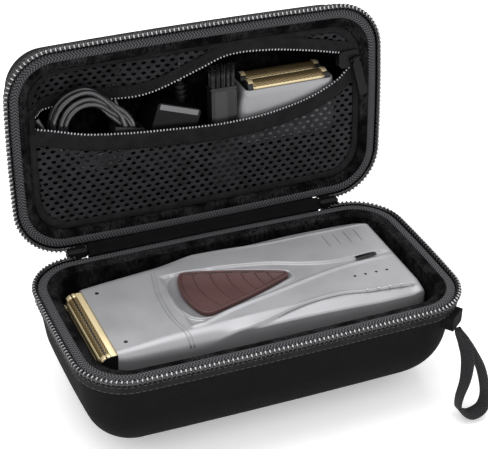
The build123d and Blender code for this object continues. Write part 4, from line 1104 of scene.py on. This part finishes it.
def add_foil_ends(name, place, shape, shift):
    """Closed ends of a foil: a cap and a plain collar each."""
    profile = foil_points(shape, shift, 0.05)
    ends = []
    for sign in (-1, 1):
        rows = foil_strip(profile, sign * (shape.length / 2 - shape.ends),
                          sign * shape.length / 2, 3)
        ends.append((flat(rows), grid(rows) + [end_cap(rows)]))
    return add_mesh(name, *joined(*ends), place, finishes["frame_dark"], smooth=False)


def add_arch_bands(name, place, shape, shift, bands, lift, finish):
    """Raised bands over a foil's arch: where each begins and ends, in mm and in degrees."""
    reach, shapes = shape.radius + lift, []
    for low, high, first, last in bands:
        turns = [math.radians(first + (last - first) * n / 12) for n in range(13)]
        profile = [(shape.centre + reach * math.sin(a), shift + reach * math.cos(a))
                   for a in turns]
        rows = foil_strip(profile, low, high, 1 + int(abs(high - low) / 2))
        shapes.append((flat(rows), grid(rows)))
    return thicken(add_mesh(name, *joined(*shapes), place, finishes[finish]), lift + 0.1, -1)


def rounded_rectangle(wide, high, corner):
    """Points round a rectangle with rounded corners."""
    points = []
    for quarter, (sx, sy) in enumerate(((1, 1), (-1, 1), (-1, -1), (1, -1))):
        for k in range(7):
            a = math.pi / 2 * (quarter + k / 6)
            points.append((sx * (wide / 2 - corner) + corner * math.cos(a),
                           sy * (high / 2 - corner) + corner * math.sin(a)))
    return points


# rings of the spare cap's lip, from outside to inside: width, height, corner, how far out
CAP_LIP = ((44.5, 18.1, 3.2, -0.8), (44.5, 18.1, 3.2, 0.4), (44.1, 17.9, 3.1, 2.0),
           (43.5, 17.6, 2.9, 2.6), (42.6, 17.2, 2.6, 2.85), (41.0, 16.7, 1.6, 2.6),
           (40.7, 16.6, 1.2, 1.5), (40.7, 16.6, 1.2, -0.5))


SPARE_SPOT, SPARE_LEAN = (43.8, -10.0, depth_z(-1, 13.3)), math.radians(6)


def build_spare_head():
    """Both foils of the spare head with clips and rails, the bar between, and its cap's lip."""
    c, s = math.cos(SPARE_LEAN), math.sin(SPARE_LEAN)
    place = LID @ axes(SPARE_SPOT, (1, 0, 0), (0, -c, -s), (0, s, -c))
    foil, end = SPARE_FOIL, SPARE_FOIL.length / 2
    inner = end - foil.ends
    clips = ((0.6 - end, 2.9 - end, 58, 122), (end - 2.9, end - 0.6, 58, 122))
    rails = ((-inner, inner, 14, 30), (-inner, inner, 150, 166))
    for name, shift in (("near", SPARE_SHIFT), ("far", -SPARE_SHIFT)):
        body = f"spare_foil_{name}"
        settle(add_foil(f"spare_{name}_sheet", place, foil, shift), body, "foil_gold", body)
        settle(add_foil_ends(f"spare_{name}_ends", place, foil, shift), body, "frame_dark")
        for part, bands, lift in (("clips", clips, 0.35), ("rails", rails, 0.05)):
            settle(add_arch_bands(f"spare_{name}_{part}", place, foil, shift, bands, lift,
                                  "clip_gold"), body, "foil_gold")
    verts, faces = rounded_box(foil.length - 3.0, 2.6, 0.9, 0.2)
    middle = add_mesh("spare_middle_bar", [(x, y + 2.3, z) for x, y, z in verts], faces, place,
                      finishes["clip_gold"])
    settle(middle, "lid", "frame_dark")
    rings = [[(x, out, z) for x, z in rounded_rectangle(wide, high, corner)]
             for wide, high, corner, out in CAP_LIP]
    lip = add_mesh("spare_cap_lip", flat(rings), grid(rings, close_points=True), place,
                   finishes["silver_housing"])
    settle(lip, "lid", "silver_housing")


def build_shaver_head():
    """Each foil with its frame rail, a lifting bar over its crown and clips at the ends."""
    place = BASE @ axes((HEAD_X, HEAD_Y, HEAD_Z), (0, 1, 0), (-1, 0, 0), (0, 0, 1))
    foil, end = SHAVER_FOIL, SHAVER_FOIL.length / 2
    inner = end - CLIP_LENGTH
    along, ends = ((-inner, inner),), ((-end, -inner), (inner, end))
    # part, where along the foil, angles from its outer side, lift, finish
    bands = (("brackets", ends, (0, 17), 0.3, "clip_gold"),
             ("groove", along, (17, 26), 0.05, "frame_dark"),
             ("bar_clips", ends, (26, 56), 0.5, "clip_gold"),
             ("rail", along, (58, 70), 0.3, "clip_gold"),
             ("line", along, (104, 112), 0.16, "clip_gold"),
             ("line_clips", ends, (97, 119), 0.6, "clip_gold"))
    for body, sign in (("foil_upper", 1), ("foil_lower", -1)):
        shift = sign * SHAVER_SHIFT
        settle(add_foil(f"{body}_sheet", place, foil, shift), body, "foil_gold", body)
        settle(add_foil_ends(f"{body}_ends", place, foil, shift), body, "foil_gold")
        for part, spots, angles, lift, finish in bands:
            if sign < 0:
                angles = (180 - angles[1], 180 - angles[0])
            settle(add_arch_bands(f"{body}_{part}", place, foil, shift,
                                  [spot + angles for spot in spots], lift, finish),
                   body, "foil_gold")
        verts, faces = rounded_box(foil.length - 0.4, 2.6, 0.3, 0.1)
        across = shift + sign * (foil.radius + 0.12)
        rail = add_mesh(f"{body}_rail_plate", [(x, y + 1.3, z + across) for x, y, z in verts],
                        faces, place, finishes["clip_gold"])
        settle(rail, body, "foil_gold")


# ------------------------------------------------------------------ shaver's dressed top
# place along the shaver, front and back of its side walls, top's height, corner radius
HULL = [
    (-33.0, -25.4, 32.6, 47.3, 7.0), (-20.0, -26.05, 33.25, 47.82, 7.0),
    (-5.0, -26.3, 33.5, 48.35, 7.0), (15.0, -26.4, 33.6, 48.41, 7.0),
    (35.0, -27.1, 34.3, 48.4, 7.0), (50.0, -27.49, 34.69, 48.0, 7.0),
    (58.0, -27.4, 34.6, 47.9, 7.0), (64.0, -27.2, 34.4, 47.75, 7.0),
    (67.0, -27.0, 34.2, 47.65, 7.0), (69.0, -26.7, 33.9, 47.55, 7.0),
    (70.5, -26.4, 33.6, 47.4, 7.0), (71.3, -26.1, 33.3, 47.1, 7.0),
    (72.0, -25.7, 32.9, 46.6, 7.0), (73.0, -24.7, 31.9, 45.5, 7.0),
    (73.6, -23.6, 30.8, 44.4, 7.0), (74.0, -22.5, 29.7, 43.2, 7.0),
]
# lines of the moulding over the top: place along the shaver, place across it
FRONT_RIDGE = [(-27, -16.9), (-13.7, -12.9), (6.5, -8.5), (17, -6.1), (27.6, -3.6), (40.4, -1.0),
               (48.9, 0.3), (59, 0.9), (69.3, 1.6)]
BACK_CREASE = [(-27, 21.5), (-14, 19.9), (-0.8, 17.8), (16.5, 13.8), (28.7, 8.9), (39.9, 5.9),
               (51.6, 5.7), (61.9, 6.6), (69.3, 6.3)]
BACK_RIDGE = [(-33, 31.4), (-20.1, 31.2), (4.8, 29.4), (22.7, 27.8), (42.6, 28.1), (68, 28.5)]
FRONT_STEP = [(-17.4, -26.5), (-4.5, -24.4), (0, -23.5), (10.2, -21), (20.3, -19.2),
              (35, -18.4), (46.4, -20.1), (57.5, -21), (69.3, -21.7)]
# seam of the head's cap: place across the shaver, place along it
CAP_SEAM = [(-25.3, -35.8), (-17.3, -36.8), (-10.4, -38.2), (-0.4, -38.6), (11.7, -37.6),
            (25.7, -34.6)]
CHANNEL_DEPTH, STEP_DEPTH = 0.85, 1.05
FRONT_RIDGE_HEIGHT, BACK_RIDGE_HEIGHT, STEP_EDGE_HEIGHT = 0.5, 0.28, 0.12
RELIEF_END = 73.5                        # where all moulding has faded into the shaver's end


def hull_at(x):
    """Front and back of the side walls, height of the top and corner radius at x."""
    return tuple(curve_at(HULL, x, column) for column in (1, 2, 3, 4))


def bead(offset, width):
    """Height of a rounded bead, 1 at its middle, at this distance from it."""
    return math.exp(-(offset / width) ** 2)


def relief(x, y):
    """Height of the moulded ridges, channel and step above the plain top."""
    end = smooth_steps(RELIEF_END, 66.0, x) if x > 66 else 1.0
    head = smooth_steps(-33.0, -30.8, x)
    ridge, crease, back, step = (curve_at(line, x) for line in
                                 (FRONT_RIDGE, BACK_CREASE, BACK_RIDGE, FRONT_STEP))
    channel = smooth_steps(0.4, 2.4, y - ridge) * smooth_steps(0.0, 0.9, crease - y)
    height = -CHANNEL_DEPTH * channel * head * end
    height += FRONT_RIDGE_HEIGHT * bead(y - ridge + 0.2, 0.75) * head * end
    height += BACK_RIDGE_HEIGHT * bead(y - back, 0.8) * end
    fade = smooth_steps(-17.0, -3.0, x) * end
    height -= STEP_DEPTH * smooth_steps(0.0, 0.7, step - y) * fade
    return height + STEP_EDGE_HEIGHT * bead(y - step - 0.5, 0.6) * fade


def blend_rows(soft, crisp, share):
    """Points between two rows, from soft at share 0 to crisp at 1."""
    return [tuple(a + (b - a) * share for a, b in zip(p, q)) for p, q in zip(soft, crisp)]


def housing_section(x):
    """Points across the housing at x, with the height of the relief still to be added."""
    front, back, top, r = hull_at(x)
    # plain rounded corners at the head, moulded edges from the switch on, blended between
    crisp = smooth_steps(-32.0, -12.0, x)
    turns = [math.pi / 2 * k / 12 for k in range(12)]
    soft = [(front, 29), (front, 33), (front, 37), (front, top - r - 0.6)]
    soft += [(front + r - r * math.cos(a), top - r + r * math.sin(a)) for a in turns]
    edge = [(front, 29), (front, 33), (front + 0.1, 38), (front + 0.35, 42.5),
            (front + 0.6, top - 2.7), (front + 0.7, top - 2.0), (front + 0.95, top - 1.6),
            (front + 1.4, top - 1.3), (front + 2.1, top - 1.1)]
    edge += [(front + 2.1 + (r - 2.1) * k / 8, top - 1.1 * (1 - k / 8)) for k in range(1, 8)]
    near = blend_rows(soft, edge, crisp)
    middle = [(front + r + (back - front - 2 * r) * k / 119, top) for k in range(120)]
    ridge = min(max(curve_at(BACK_RIDGE, x), back - r + 0.3), back - 2.6)
    soft = [(back + front - y, z) for y, z in soft]
    edge = [(back, 29), (back, 33), (back - 0.1, 38), (back - 0.3, 42.5),
            (back - 0.5, top - 3.6), (back - 0.65, top - 3.0), (back - 0.9, top - 2.5),
            (back - 1.4, top - 2.1)]
    edge += [(back - 1.4 + (ridge - back + 1.4) * k / 4, top - 2.1 * (1 - k / 4))
             for k in range(1, 5)]
    edge += [(ridge + (back - r - ridge) * k / 4, top) for k in range(4)]
    return near + middle + blend_rows(soft, edge, crisp)[::-1]


def top_height(x, y):
    """Height of the shaver's top with its rounded corners and moulding."""
    front, back, top, r = hull_at(x)
    lean = 0.0
    for edge, sign in ((front + r, -1), (back - r, 1)):
        if (y - edge) * sign > 0:
            reach = min(abs(y - edge), r * 0.999)
            lean = r - math.sqrt(r * r - reach * reach)
    return top - lean + relief(x, y)


SWITCH_HALF, SWITCH_BULGE = 16.7, 1.3                   # half its width, bow of its sides
SWITCH_FRONT, SWITCH_SHOULDER, SWITCH_TIP = -28.5, -24.5, 24.2    # before it is smoothed
SWITCH_BLUNT = 17.5                                     # from here on the tip is pushed in
SWITCH_TOP = 48.38


def arc_through(start, middle, end, steps):
    """Points of a parabola through three places, without the last one."""
    return [tuple((1 - t) * (1 - 2 * t) * a + 4 * t * (1 - t) * b + t * (2 * t - 1) * c
                  for a, b, c in zip(start, middle, end))
            for t in (k / steps for k in range(steps))]


def switch_outline(grow, travel=0.0):
    """Points round the power switch, or round its recess, and their outward directions."""
    half, front, tip = SWITCH_HALF + grow, SWITCH_FRONT - travel - grow, SWITCH_TIP + 2 * grow
    near, far = SWITCH_SHOULDER - travel, SWITCH_SHOULDER
    middle, bulge = (far + tip) / 2, half / 2 + SWITCH_BULGE
    points = arc_through((near, half), (front, 0), (near, -half), 60)
    points += arc_through((far, -half), (middle, -bulge), (tip, 0), 90)
    points += arc_through((tip, 0), (middle, bulge), (far, half), 90)
    count = len(points)
    for _ in range(45):
        points = [tuple((points[k - 1][n] + 2 * points[k][n] + points[(k + 1) % count][n]) / 4
                        for n in (0, 1)) for k in range(count)]
    blunt = SWITCH_BLUNT + grow
    points = [(x if x < blunt else blunt + 3.2 * math.tanh((x - blunt) / 3.2), y)
              for x, y in points]
    out = []
    for k, (x, y) in enumerate(points):
        (ax, ay), (bx, by) = points[k - 1], points[(k + 1) % count]
        size = math.hypot(bx - ax, by - ay)
        out.append((x, y + HEAD_Y, (ay - by) / size, (bx - ax) / size))
    mid = sum(p[0] for p in out) / count
    if (out[0][0] - mid) * out[0][2] < 0:
        out = [(x, y, -nx, -ny) for x, y, nx, ny in out]
    return out


def settle_top(name, shape, finish, *nodes):
    """A piece of the shaver's top, in the silver of its housing or in a finish of its own."""
    settle(add_mesh(name, *shape, BASE, finishes[finish]), "shaver", "silver_housing", *nodes)


def add_top_shell(recess):
    """Top housing with its moulding, open under the switch."""
    hidden = [(x + 1.15 * nx, y + 1.15 * ny) for x, y, nx, ny in recess]
    stations = [x for x in (-33.0 + 0.7 * n for n in range(150)) if x < 71]
    rows = []
    for x in stations + [71, 71.7, 72.3, 72.8, 73.2, 73.5, 73.75, 74]:
        top = hull_at(x)[2]
        rows.append([(x, y, z + relief(x, y) * smooth_steps(top - 4.0, top - 1.5, z))
                     for y, z in housing_section(x)])
    points, faces = flat(rows), []
    for face in grid(rows):
        corners = [points[n] for n in face]
        cx, cy = (sum(p[n] for p in corners) / 4 for n in (0, 1))
        side_wall = corners[0][2] < 45
        if side_wall or not inside_outline(hidden, cx, cy):
            faces.append(face)
    settle_top("top_housing_shell", (points, faces + [end_cap(rows)]), "silver_housing",
               "top_housing")


def add_switch_bezel(recess):
    """Rounded rim round the switch, and the walls and floor of its recess."""
    profile = [(2.1, -0.12), (1.8, 0.05), (1.3, 0.14), (0.8, 0.12), (0.4, 0.0), (0.15, -0.22)]
    rings = [[(x + g * nx, y + g * ny, top_height(x + g * nx, y + g * ny) + lift)
              for x, y, nx, ny in recess] for g, lift in profile]
    rings += [[(x, y, z) for x, y, _, _ in recess] for z in (46.95, 46.72)]
    settle_top("switch_bezel", (flat(rings), grid(rings, close_points=True) + [end_cap(rings)]),
               "silver_housing")


def add_grip_nubs():
    """Small nubs along the step, in a lighter silver as painted highlights over the shade they
    stand in.
    """
    spots = []
    for x in (46.8, 52.1, 57.3, 62.6, 68.0):
        y = curve_at(FRONT_STEP, x) - 0.3
        spots.append(Matrix.Translation((x, y, top_height(x, y + 0.8) + 0.3))
                     @ Matrix.Diagonal((0.9, 0.7, 0.9, 1)))
    # lighter silver: painted highlight on each nub
    settle_top("grip_nubs", stamp(pill(1, 1, 1, 6, 10), spots), "nub_painted_highlight")


def add_light_windows():
    """Four round battery lights in a row and the long window behind them."""
    lights = [Matrix.Translation((x, -8.8, top_height(x, -8.8)))
              @ Matrix.Diagonal((1.3, 1.3, 0.22, 1)) for x in (46.7 + 5.2 * n for n in range(4))]
    x, y = 58.3, 3.6
    window = (Matrix.Translation((x, y, top_height(x, 1.0) + 0.05))
              @ Matrix.Rotation(0.05, 4, "Z") @ Matrix.Diagonal((10.3, 3.1, 0.6, 1)))
    shapes = joined(stamp(pill(1, 1, 1, 10, 12), lights),
                    stamp(pill(1, 1, 1, 16, 16, 0.22), [window]))
    settle(add_mesh("light_windows", *shapes, BASE, finishes["light_guide"]), "shaver",
           "light_guide", "status_lights")


def add_step_crease():
    """Fine dark line under the step, painted shade of its riser, thinner towards its ends."""
    path, radii, last = [], [], 110
    for k in range(last + 1):
        x = -8 + 77 * k / last
        y = curve_at(FRONT_STEP, x) - 0.45
        path.append((x, y, top_height(x, y)))
        radii.append(0.3 * min(1.0, 0.15 + k / 25, 0.15 + (last - k) / 8))
    settle_top("step_crease", tube(path, radii, flatten=0.5), "crease_grey")


def add_back_grooves():
    """Four short grooves across the shaver's back edge, as dark pills of painted shade."""
    spots = [Matrix.Translation((x, 20.6, top_height(x, 20.6)))
             @ Matrix.Rotation(math.pi / 2, 4, "Z") @ Matrix.Diagonal((10.0, 0.6, 0.16, 1))
             for x in (47 + 5.3 * n for n in range(4))]
    settle_top("back_grooves", stamp(pill(1, 1, 1, 10, 8), spots), "crease_grey")


def add_cap_creases():
    """Two fine lines where the head's cap meets the housing."""
    corner, top = 7.0, 47.19
    creases = []
    for shift in (0.0, 1.5):
        path = []
        for k in range(60):
            y = -25.0 + 50.5 * k / 59
            lean = max(0.0, -18.4 - y, y - 25.6)
            drop = corner - math.sqrt(max(corner ** 2 - lean ** 2, 0))
            path.append((curve_at(CAP_SEAM, y) + shift, y, top - drop))
        creases.append(tube(path, 0.3, flatten=0.6))
    settle_top("cap_creases", joined(*creases), "silver_housing")


def build_shaver_top():
    """Top housing with its moulding, the bezel round the switch, lights, nubs and grooves."""
    recess = switch_outline(0.85, 3.7)
    add_top_shell(recess)
    add_switch_bezel(recess)
    add_grip_nubs()
    add_light_windows()
    add_step_crease()
    add_back_grooves()
    add_cap_creases()


# ------------------------------------------------------------------ power switch
# rings from its foot over its rim to its top: how far inwards, and height
SWITCH_RINGS = [(0.0, 46.9), (0.0, 48.1), (0.1, 48.4), (0.35, 48.65), (0.7, 48.75), (1.1, 48.7),
                (1.4, 48.45), (1.6, 48.35)]
SWITCH_RIBS = (8.6, 16.2, 23.2, 29.6, 35.4, 40.6)       # from its front edge
SWITCH_SLOTS = ((-21.0, -16.5), (-13.5, -8.5), (-6.0, -1.5), (1.0, 5.0), (7.5, 11.0))


def switch_rib(inner, offset):
    """Points of a curved rib across the switch, as far as it lies inside its rim."""
    run = []
    for k in range(81):
        y = -16 + 32 * k / 80
        bow = (4.0 + 0.05 * offset) * (y / SWITCH_HALF) ** 2
        x = SWITCH_FRONT + bow + offset - 0.12 * y
        if inside_outline(inner, x, y + HEAD_Y):
            run.append((x, y + HEAD_Y, SWITCH_TOP))
    return run


def build_switch():
    """Sliding switch with a raised rim, curved ribs and dark pills of painted shade for the slots
    along its far edge.
    """
    outline = switch_outline(0)
    rings = [[(x - g * nx, y - g * ny, z) for x, y, nx, ny in outline] for g, z in SWITCH_RINGS]
    inner = [(x - 1.5 * nx, y - 1.5 * ny) for x, y, nx, ny in outline]
    runs = [switch_rib(inner, offset) for offset in SWITCH_RIBS]
    plate = joined((flat(rings), grid(rings, close_points=True) + [end_cap(rings)]),
                   *[tube(run, 0.36) for run in runs if len(run) > 3])
    settle(add_mesh("switch_plate", *plate, BASE, finishes["switch_maroon"]), "power_switch",
           "switch_maroon", "power_switch")
    ring = tube([(x, y, SWITCH_TOP - 0.02) for x, y in inner], 0.2, sides=6, closed=True,
                flatten=0.6)
    settle(add_mesh("switch_shade", *ring, BASE, finishes["switch_shade"]), "power_switch",
           "switch_maroon")
    # dark pills along the far edge: painted shade inside the slots
    slots = []
    for start, end in SWITCH_SLOTS:
        x = (start + end) / 2
        y = max(p[1] for p in inner if abs(p[0] - x) < 0.8)
        slots.append(Matrix.Translation((x, y - 0.3, 48.45)) @ Matrix.Rotation(-0.33, 4, "Z")
                     @ Matrix.Diagonal((end - start, 0.8, 0.3, 1)))
    settle(add_mesh("switch_slots", *stamp(pill(1, 1, 1, 5), slots), BASE,
                    finishes["frame_dark"]), "power_switch", "switch_maroon")


# ------------------------------------------------------------------ stage
FLOOR_REACH = 6.0                        # m, from the middle to each side of the floor
# name, place and edge length in m, power in W: soft light from left, above and in front
LAMPS = (("window_left", (-1.2, -0.3, 1.5), 1.4, 10.0),
         ("window_top", (0.1, 0.5, 1.95), 1.6, 27.0),
         ("window_front", (0.5, -1.6, 1.1), 1.8, 7.0))
# camera: where it stands, m, and its right, up and backward directions
EYE = (-0.22931, -0.4992, 0.4294)
EYE_RIGHT, EYE_UP = (0.9185, -0.3942, 0.0319), (0.1872, 0.5045, 0.8429)
EYE_BACK = (-0.3483, -0.7682, 0.5372)
LENS, SENSOR = 115.38, 36.0              # mm


def add_floor():
    """Wide pale table top under the case."""
    low, far = cad_box[0][2], FLOOR_REACH
    mesh = bpy.data.meshes.new("studio_floor")
    mesh.from_pydata([(-far, -far, low), (far, -far, low), (far, far, low), (-far, far, low)],
                     [], [(0, 1, 2, 3)])
    floor = bpy.data.objects.new("studio_floor", mesh)
    bpy.context.scene.collection.objects.link(floor)
    # opal acrylic lit softly from below: near white, keeps a faint soft shadow
    finish, _, shader = base_material("acrylic table top, opal and matt", 0.9)
    shader.inputs["Base Color"].default_value = (0.93, 0.93, 0.93, 1)
    shader.inputs["Emission Color"].default_value = (1, 1, 1, 1)
    shader.inputs["Emission Strength"].default_value = 0.32
    mesh.materials.append(finish)


def add_lamp(name, spot, size, power):
    """Square soft light that looks at the case."""
    lamp = bpy.data.lights.new(name, "AREA")
    lamp.size, lamp.energy = size, power
    holder = bpy.data.objects.new(name, lamp)
    holder.location = spot
    holder.rotation_euler = (-Vector(spot)).to_track_quat("-Z", "Y").to_euler()
    bpy.context.scene.collection.objects.link(holder)


def light_world():
    """White behind the case and in what is seen through glass, softer where it lights."""
    world = bpy.context.scene.world or bpy.data.worlds.new("studio")
    bpy.context.scene.world = world
    world.use_nodes = True
    tree = world.node_tree
    tree.nodes.clear()
    ray = add(tree, "ShaderNodeLightPath")
    seen = add(tree, "ShaderNodeMath", {"operation": "MAXIMUM"},
               links={0: ray.outputs["Is Camera Ray"], 1: ray.outputs["Is Transmission Ray"]})
    soft, white = (add(tree, "ShaderNodeBackground",
                       values={"Color": (1, 1, 1, 1), "Strength": strength})
                   for strength in (0.7, 1.0))
    both = add(tree, "ShaderNodeMixShader", links={0: seen.outputs[0], 1: soft.outputs[0],
                                                   2: white.outputs[0]})
    add(tree, "ShaderNodeOutputWorld", links={"Surface": both.outputs[0]})


def build_stage():
    """Floor, lights, background and camera."""
    add_floor()
    for lamp in LAMPS:
        add_lamp(*lamp)
    light_world()
    view = bpy.data.cameras.new("view")
    view.lens, view.sensor_width, view.sensor_fit = LENS, SENSOR, "HORIZONTAL"
    camera = bpy.data.objects.new("view", view)
    camera.matrix_world = axes(EYE, EYE_RIGHT, EYE_UP, EYE_BACK)
    bpy.context.scene.collection.objects.link(camera)
    bpy.context.scene.camera = camera
    bpy.context.scene.view_settings.view_transform = "Standard"


# ------------------------------------------------------------------ add-on
class CaseSizes(bpy.types.PropertyGroup):
    tooth_pitch: bpy.props.FloatProperty(
        name="Tooth pitch", description="Distance between the main zip's teeth",
        default=0.002, min=0.001, max=0.006, precision=4, unit="LENGTH")
    tooth_wire: bpy.props.FloatProperty(
        name="Tooth wire", description="Thickness of the main zip's coil wire",
        default=0.0008, min=0.0003, max=0.0015, precision=4, unit="LENGTH")
    stitch_pitch: bpy.props.FloatProperty(
        name="Stitch pitch", description="Distance between stitches round the rim",
        default=0.0026, min=0.001, max=0.008, precision=4, unit="LENGTH")
    net_column: bpy.props.FloatProperty(
        name="Net width", description="Distance between the net's holes along the case",
        default=0.0042, min=0.002, max=0.01, precision=4, unit="LENGTH")
    net_row: bpy.props.FloatProperty(
        name="Net height", description="Distance between the net's rows of holes",
        default=0.0024, min=0.0015, max=0.008, precision=4, unit="LENGTH")
    lead_turns: bpy.props.IntProperty(
        name="Lead turns", description="Turns of the lead in its hank", default=8, min=2, max=9)
    lead_length: bpy.props.FloatProperty(
        name="Lead length", description="Real length of the lead from boot to plug",
        default=0.95, min=0.2, max=2.0, unit="LENGTH")


class CaseColours(bpy.types.PropertyGroup):
    cloth: bpy.props.FloatVectorProperty(
        name="Case cloth", description="Bright threads of the outer cloth",
        default=srgb("#0E0E0F")[:3], min=0, max=1, subtype="COLOR")
    silver: bpy.props.FloatVectorProperty(
        name="Shaver housing", description="Lacquer of the housing and cap",
        default=srgb("#9E9EA1")[:3], min=0, max=1, subtype="COLOR")
    gold: bpy.props.FloatVectorProperty(
        name="Foils", description="Coat of the shaving foils",
        default=srgb("#94805A")[:3], min=0, max=1, subtype="COLOR")
    maroon: bpy.props.FloatVectorProperty(
        name="Power switch", description="Lacquer of the sliding switch",
        default=srgb("#46211F")[:3], min=0, max=1, subtype="COLOR")


# solids that are shown in their own shape
KEPT = ("base_shell", "base_lining", "zip_sliders", "strap_tab", "foam_bed", "lid_shell",
        "lid_lining", "pocket_stop", "lead_tie", "lead_plug", "adapter_case", "adapter_strip",
        "adapter_boot", "brush_handle", "brush_panel", "spare_cap", "spare_frame",
        "pull_tab_left", "pull_tab_right", "pocket_slider", "pocket_pull", "bottom_housing",
        "head_cap", "cap_screws", "foil_frame", "motor_body", "battery", "circuit_board",
        "charge_socket", "cutter_upper", "cutter_lower", "oscillator", "motor_rotor")


class CasePiece:
    """What all the build buttons share."""
    bl_options = {"REGISTER", "UNDO"}


class SHAVERCASE_OT_finishes(CasePiece, bpy.types.Operator):
    """Make the finishes and give them to the solids that keep their own shape"""
    bl_idname = "shavercase.finishes"
    bl_label = "Finishes"

    def execute(self, context):
        finishes.update(make_finishes(context.scene.shaver_case_colours))
        use_finish(*KEPT)
        return {"FINISHED"}


class SHAVERCASE_OT_rims(CasePiece, bpy.types.Operator):
    """Build the zips, tapes, ribbons and stitches round both rims"""
    bl_idname = "shavercase.rims"
    bl_label = "Rims and zips"

    def execute(self, context):
        build_rims(context.scene.shaver_case_sizes)
        return {"FINISHED"}


class SHAVERCASE_OT_hinge(CasePiece, bpy.types.Operator):
    """Build the cloth strip that joins lid and base"""
    bl_idname = "shavercase.hinge"
    bl_label = "Hinge strip"

    def execute(self, context):
        build_hinge_strip()
        return {"FINISHED"}


class SHAVERCASE_OT_strap(CasePiece, bpy.types.Operator):
    """Build the wrist strap"""
    bl_idname = "shavercase.strap"
    bl_label = "Wrist strap"

    def execute(self, context):
        build_strap()
        return {"FINISHED"}


class SHAVERCASE_OT_pocket(CasePiece, bpy.types.Operator):
    """Build the mesh pocket with its zip"""
    bl_idname = "shavercase.pocket"
    bl_label = "Mesh pocket"

    def execute(self, context):
        build_pocket(context.scene.shaver_case_sizes)
        return {"FINISHED"}


class SHAVERCASE_OT_lead(CasePiece, bpy.types.Operator):
    """Build the coiled lead"""
    bl_idname = "shavercase.lead"
    bl_label = "Lead"

    def execute(self, context):
        build_lead(context.scene.shaver_case_sizes)
        return {"FINISHED"}


class SHAVERCASE_OT_brush(CasePiece, bpy.types.Operator):
    """Build the cleaning brush's bristles"""
    bl_idname = "shavercase.brush"
    bl_label = "Brush"

    def execute(self, context):
        build_brush()
        return {"FINISHED"}


class SHAVERCASE_OT_heads(CasePiece, bpy.types.Operator):
    """Build the foils of the shaver's head and of the spare head"""
    bl_idname = "shavercase.heads"
    bl_label = "Foil heads"

    def execute(self, context):
        build_shaver_head()
        build_spare_head()
        return {"FINISHED"}


class SHAVERCASE_OT_housing(CasePiece, bpy.types.Operator):
    """Build the shaver's top housing and the details of its switch"""
    bl_idname = "shavercase.housing"
    bl_label = "Shaver housing"

    def execute(self, context):
        build_shaver_top()
        build_switch()
        return {"FINISHED"}


class SHAVERCASE_OT_stage(CasePiece, bpy.types.Operator):
    """Set up the floor, lights, background and camera"""
    bl_idname = "shavercase.stage"
    bl_label = "Stage"

    def execute(self, context):
        build_stage()
        return {"FINISHED"}


STEPS = (SHAVERCASE_OT_finishes, SHAVERCASE_OT_stage, SHAVERCASE_OT_lead, SHAVERCASE_OT_rims,
         SHAVERCASE_OT_hinge, SHAVERCASE_OT_strap, SHAVERCASE_OT_pocket, SHAVERCASE_OT_brush,
         SHAVERCASE_OT_heads, SHAVERCASE_OT_housing)


class SHAVERCASE_PT_panel(bpy.types.Panel):
    """Sizes, colours and build buttons of the case"""
    bl_label = "Shaver Case"
    bl_idname = "SHAVERCASE_PT_panel"
    bl_space_type = "VIEW_3D"
    bl_region_type = "UI"
    bl_category = "Shaver Case"

    def draw(self, context):
        for group in (context.scene.shaver_case_sizes, context.scene.shaver_case_colours):
            for name in group.__annotations__:
                self.layout.prop(group, name)
        for step in STEPS:
            self.layout.operator(step.bl_idname)


CLASSES = (CaseSizes, CaseColours) + STEPS + (SHAVERCASE_PT_panel,)


def register():
    """Put the buttons, sizes and colours into the file."""
    for cls in CLASSES:
        bpy.utils.register_class(cls)
    bpy.types.Scene.shaver_case_sizes = bpy.props.PointerProperty(type=CaseSizes)
    bpy.types.Scene.shaver_case_colours = bpy.props.PointerProperty(type=CaseColours)


def unregister():
    """Take the buttons, sizes and colours out again."""
    del bpy.types.Scene.shaver_case_colours
    del bpy.types.Scene.shaver_case_sizes
    for cls in reversed(CLASSES):
        bpy.utils.unregister_class(cls)


def main():
    """Press every button in order."""
    register()
    for step in STEPS:
        group, action = step.bl_idname.split(".")
        getattr(getattr(bpy.ops, group), action)()


if __name__ == "__main__":
    main()
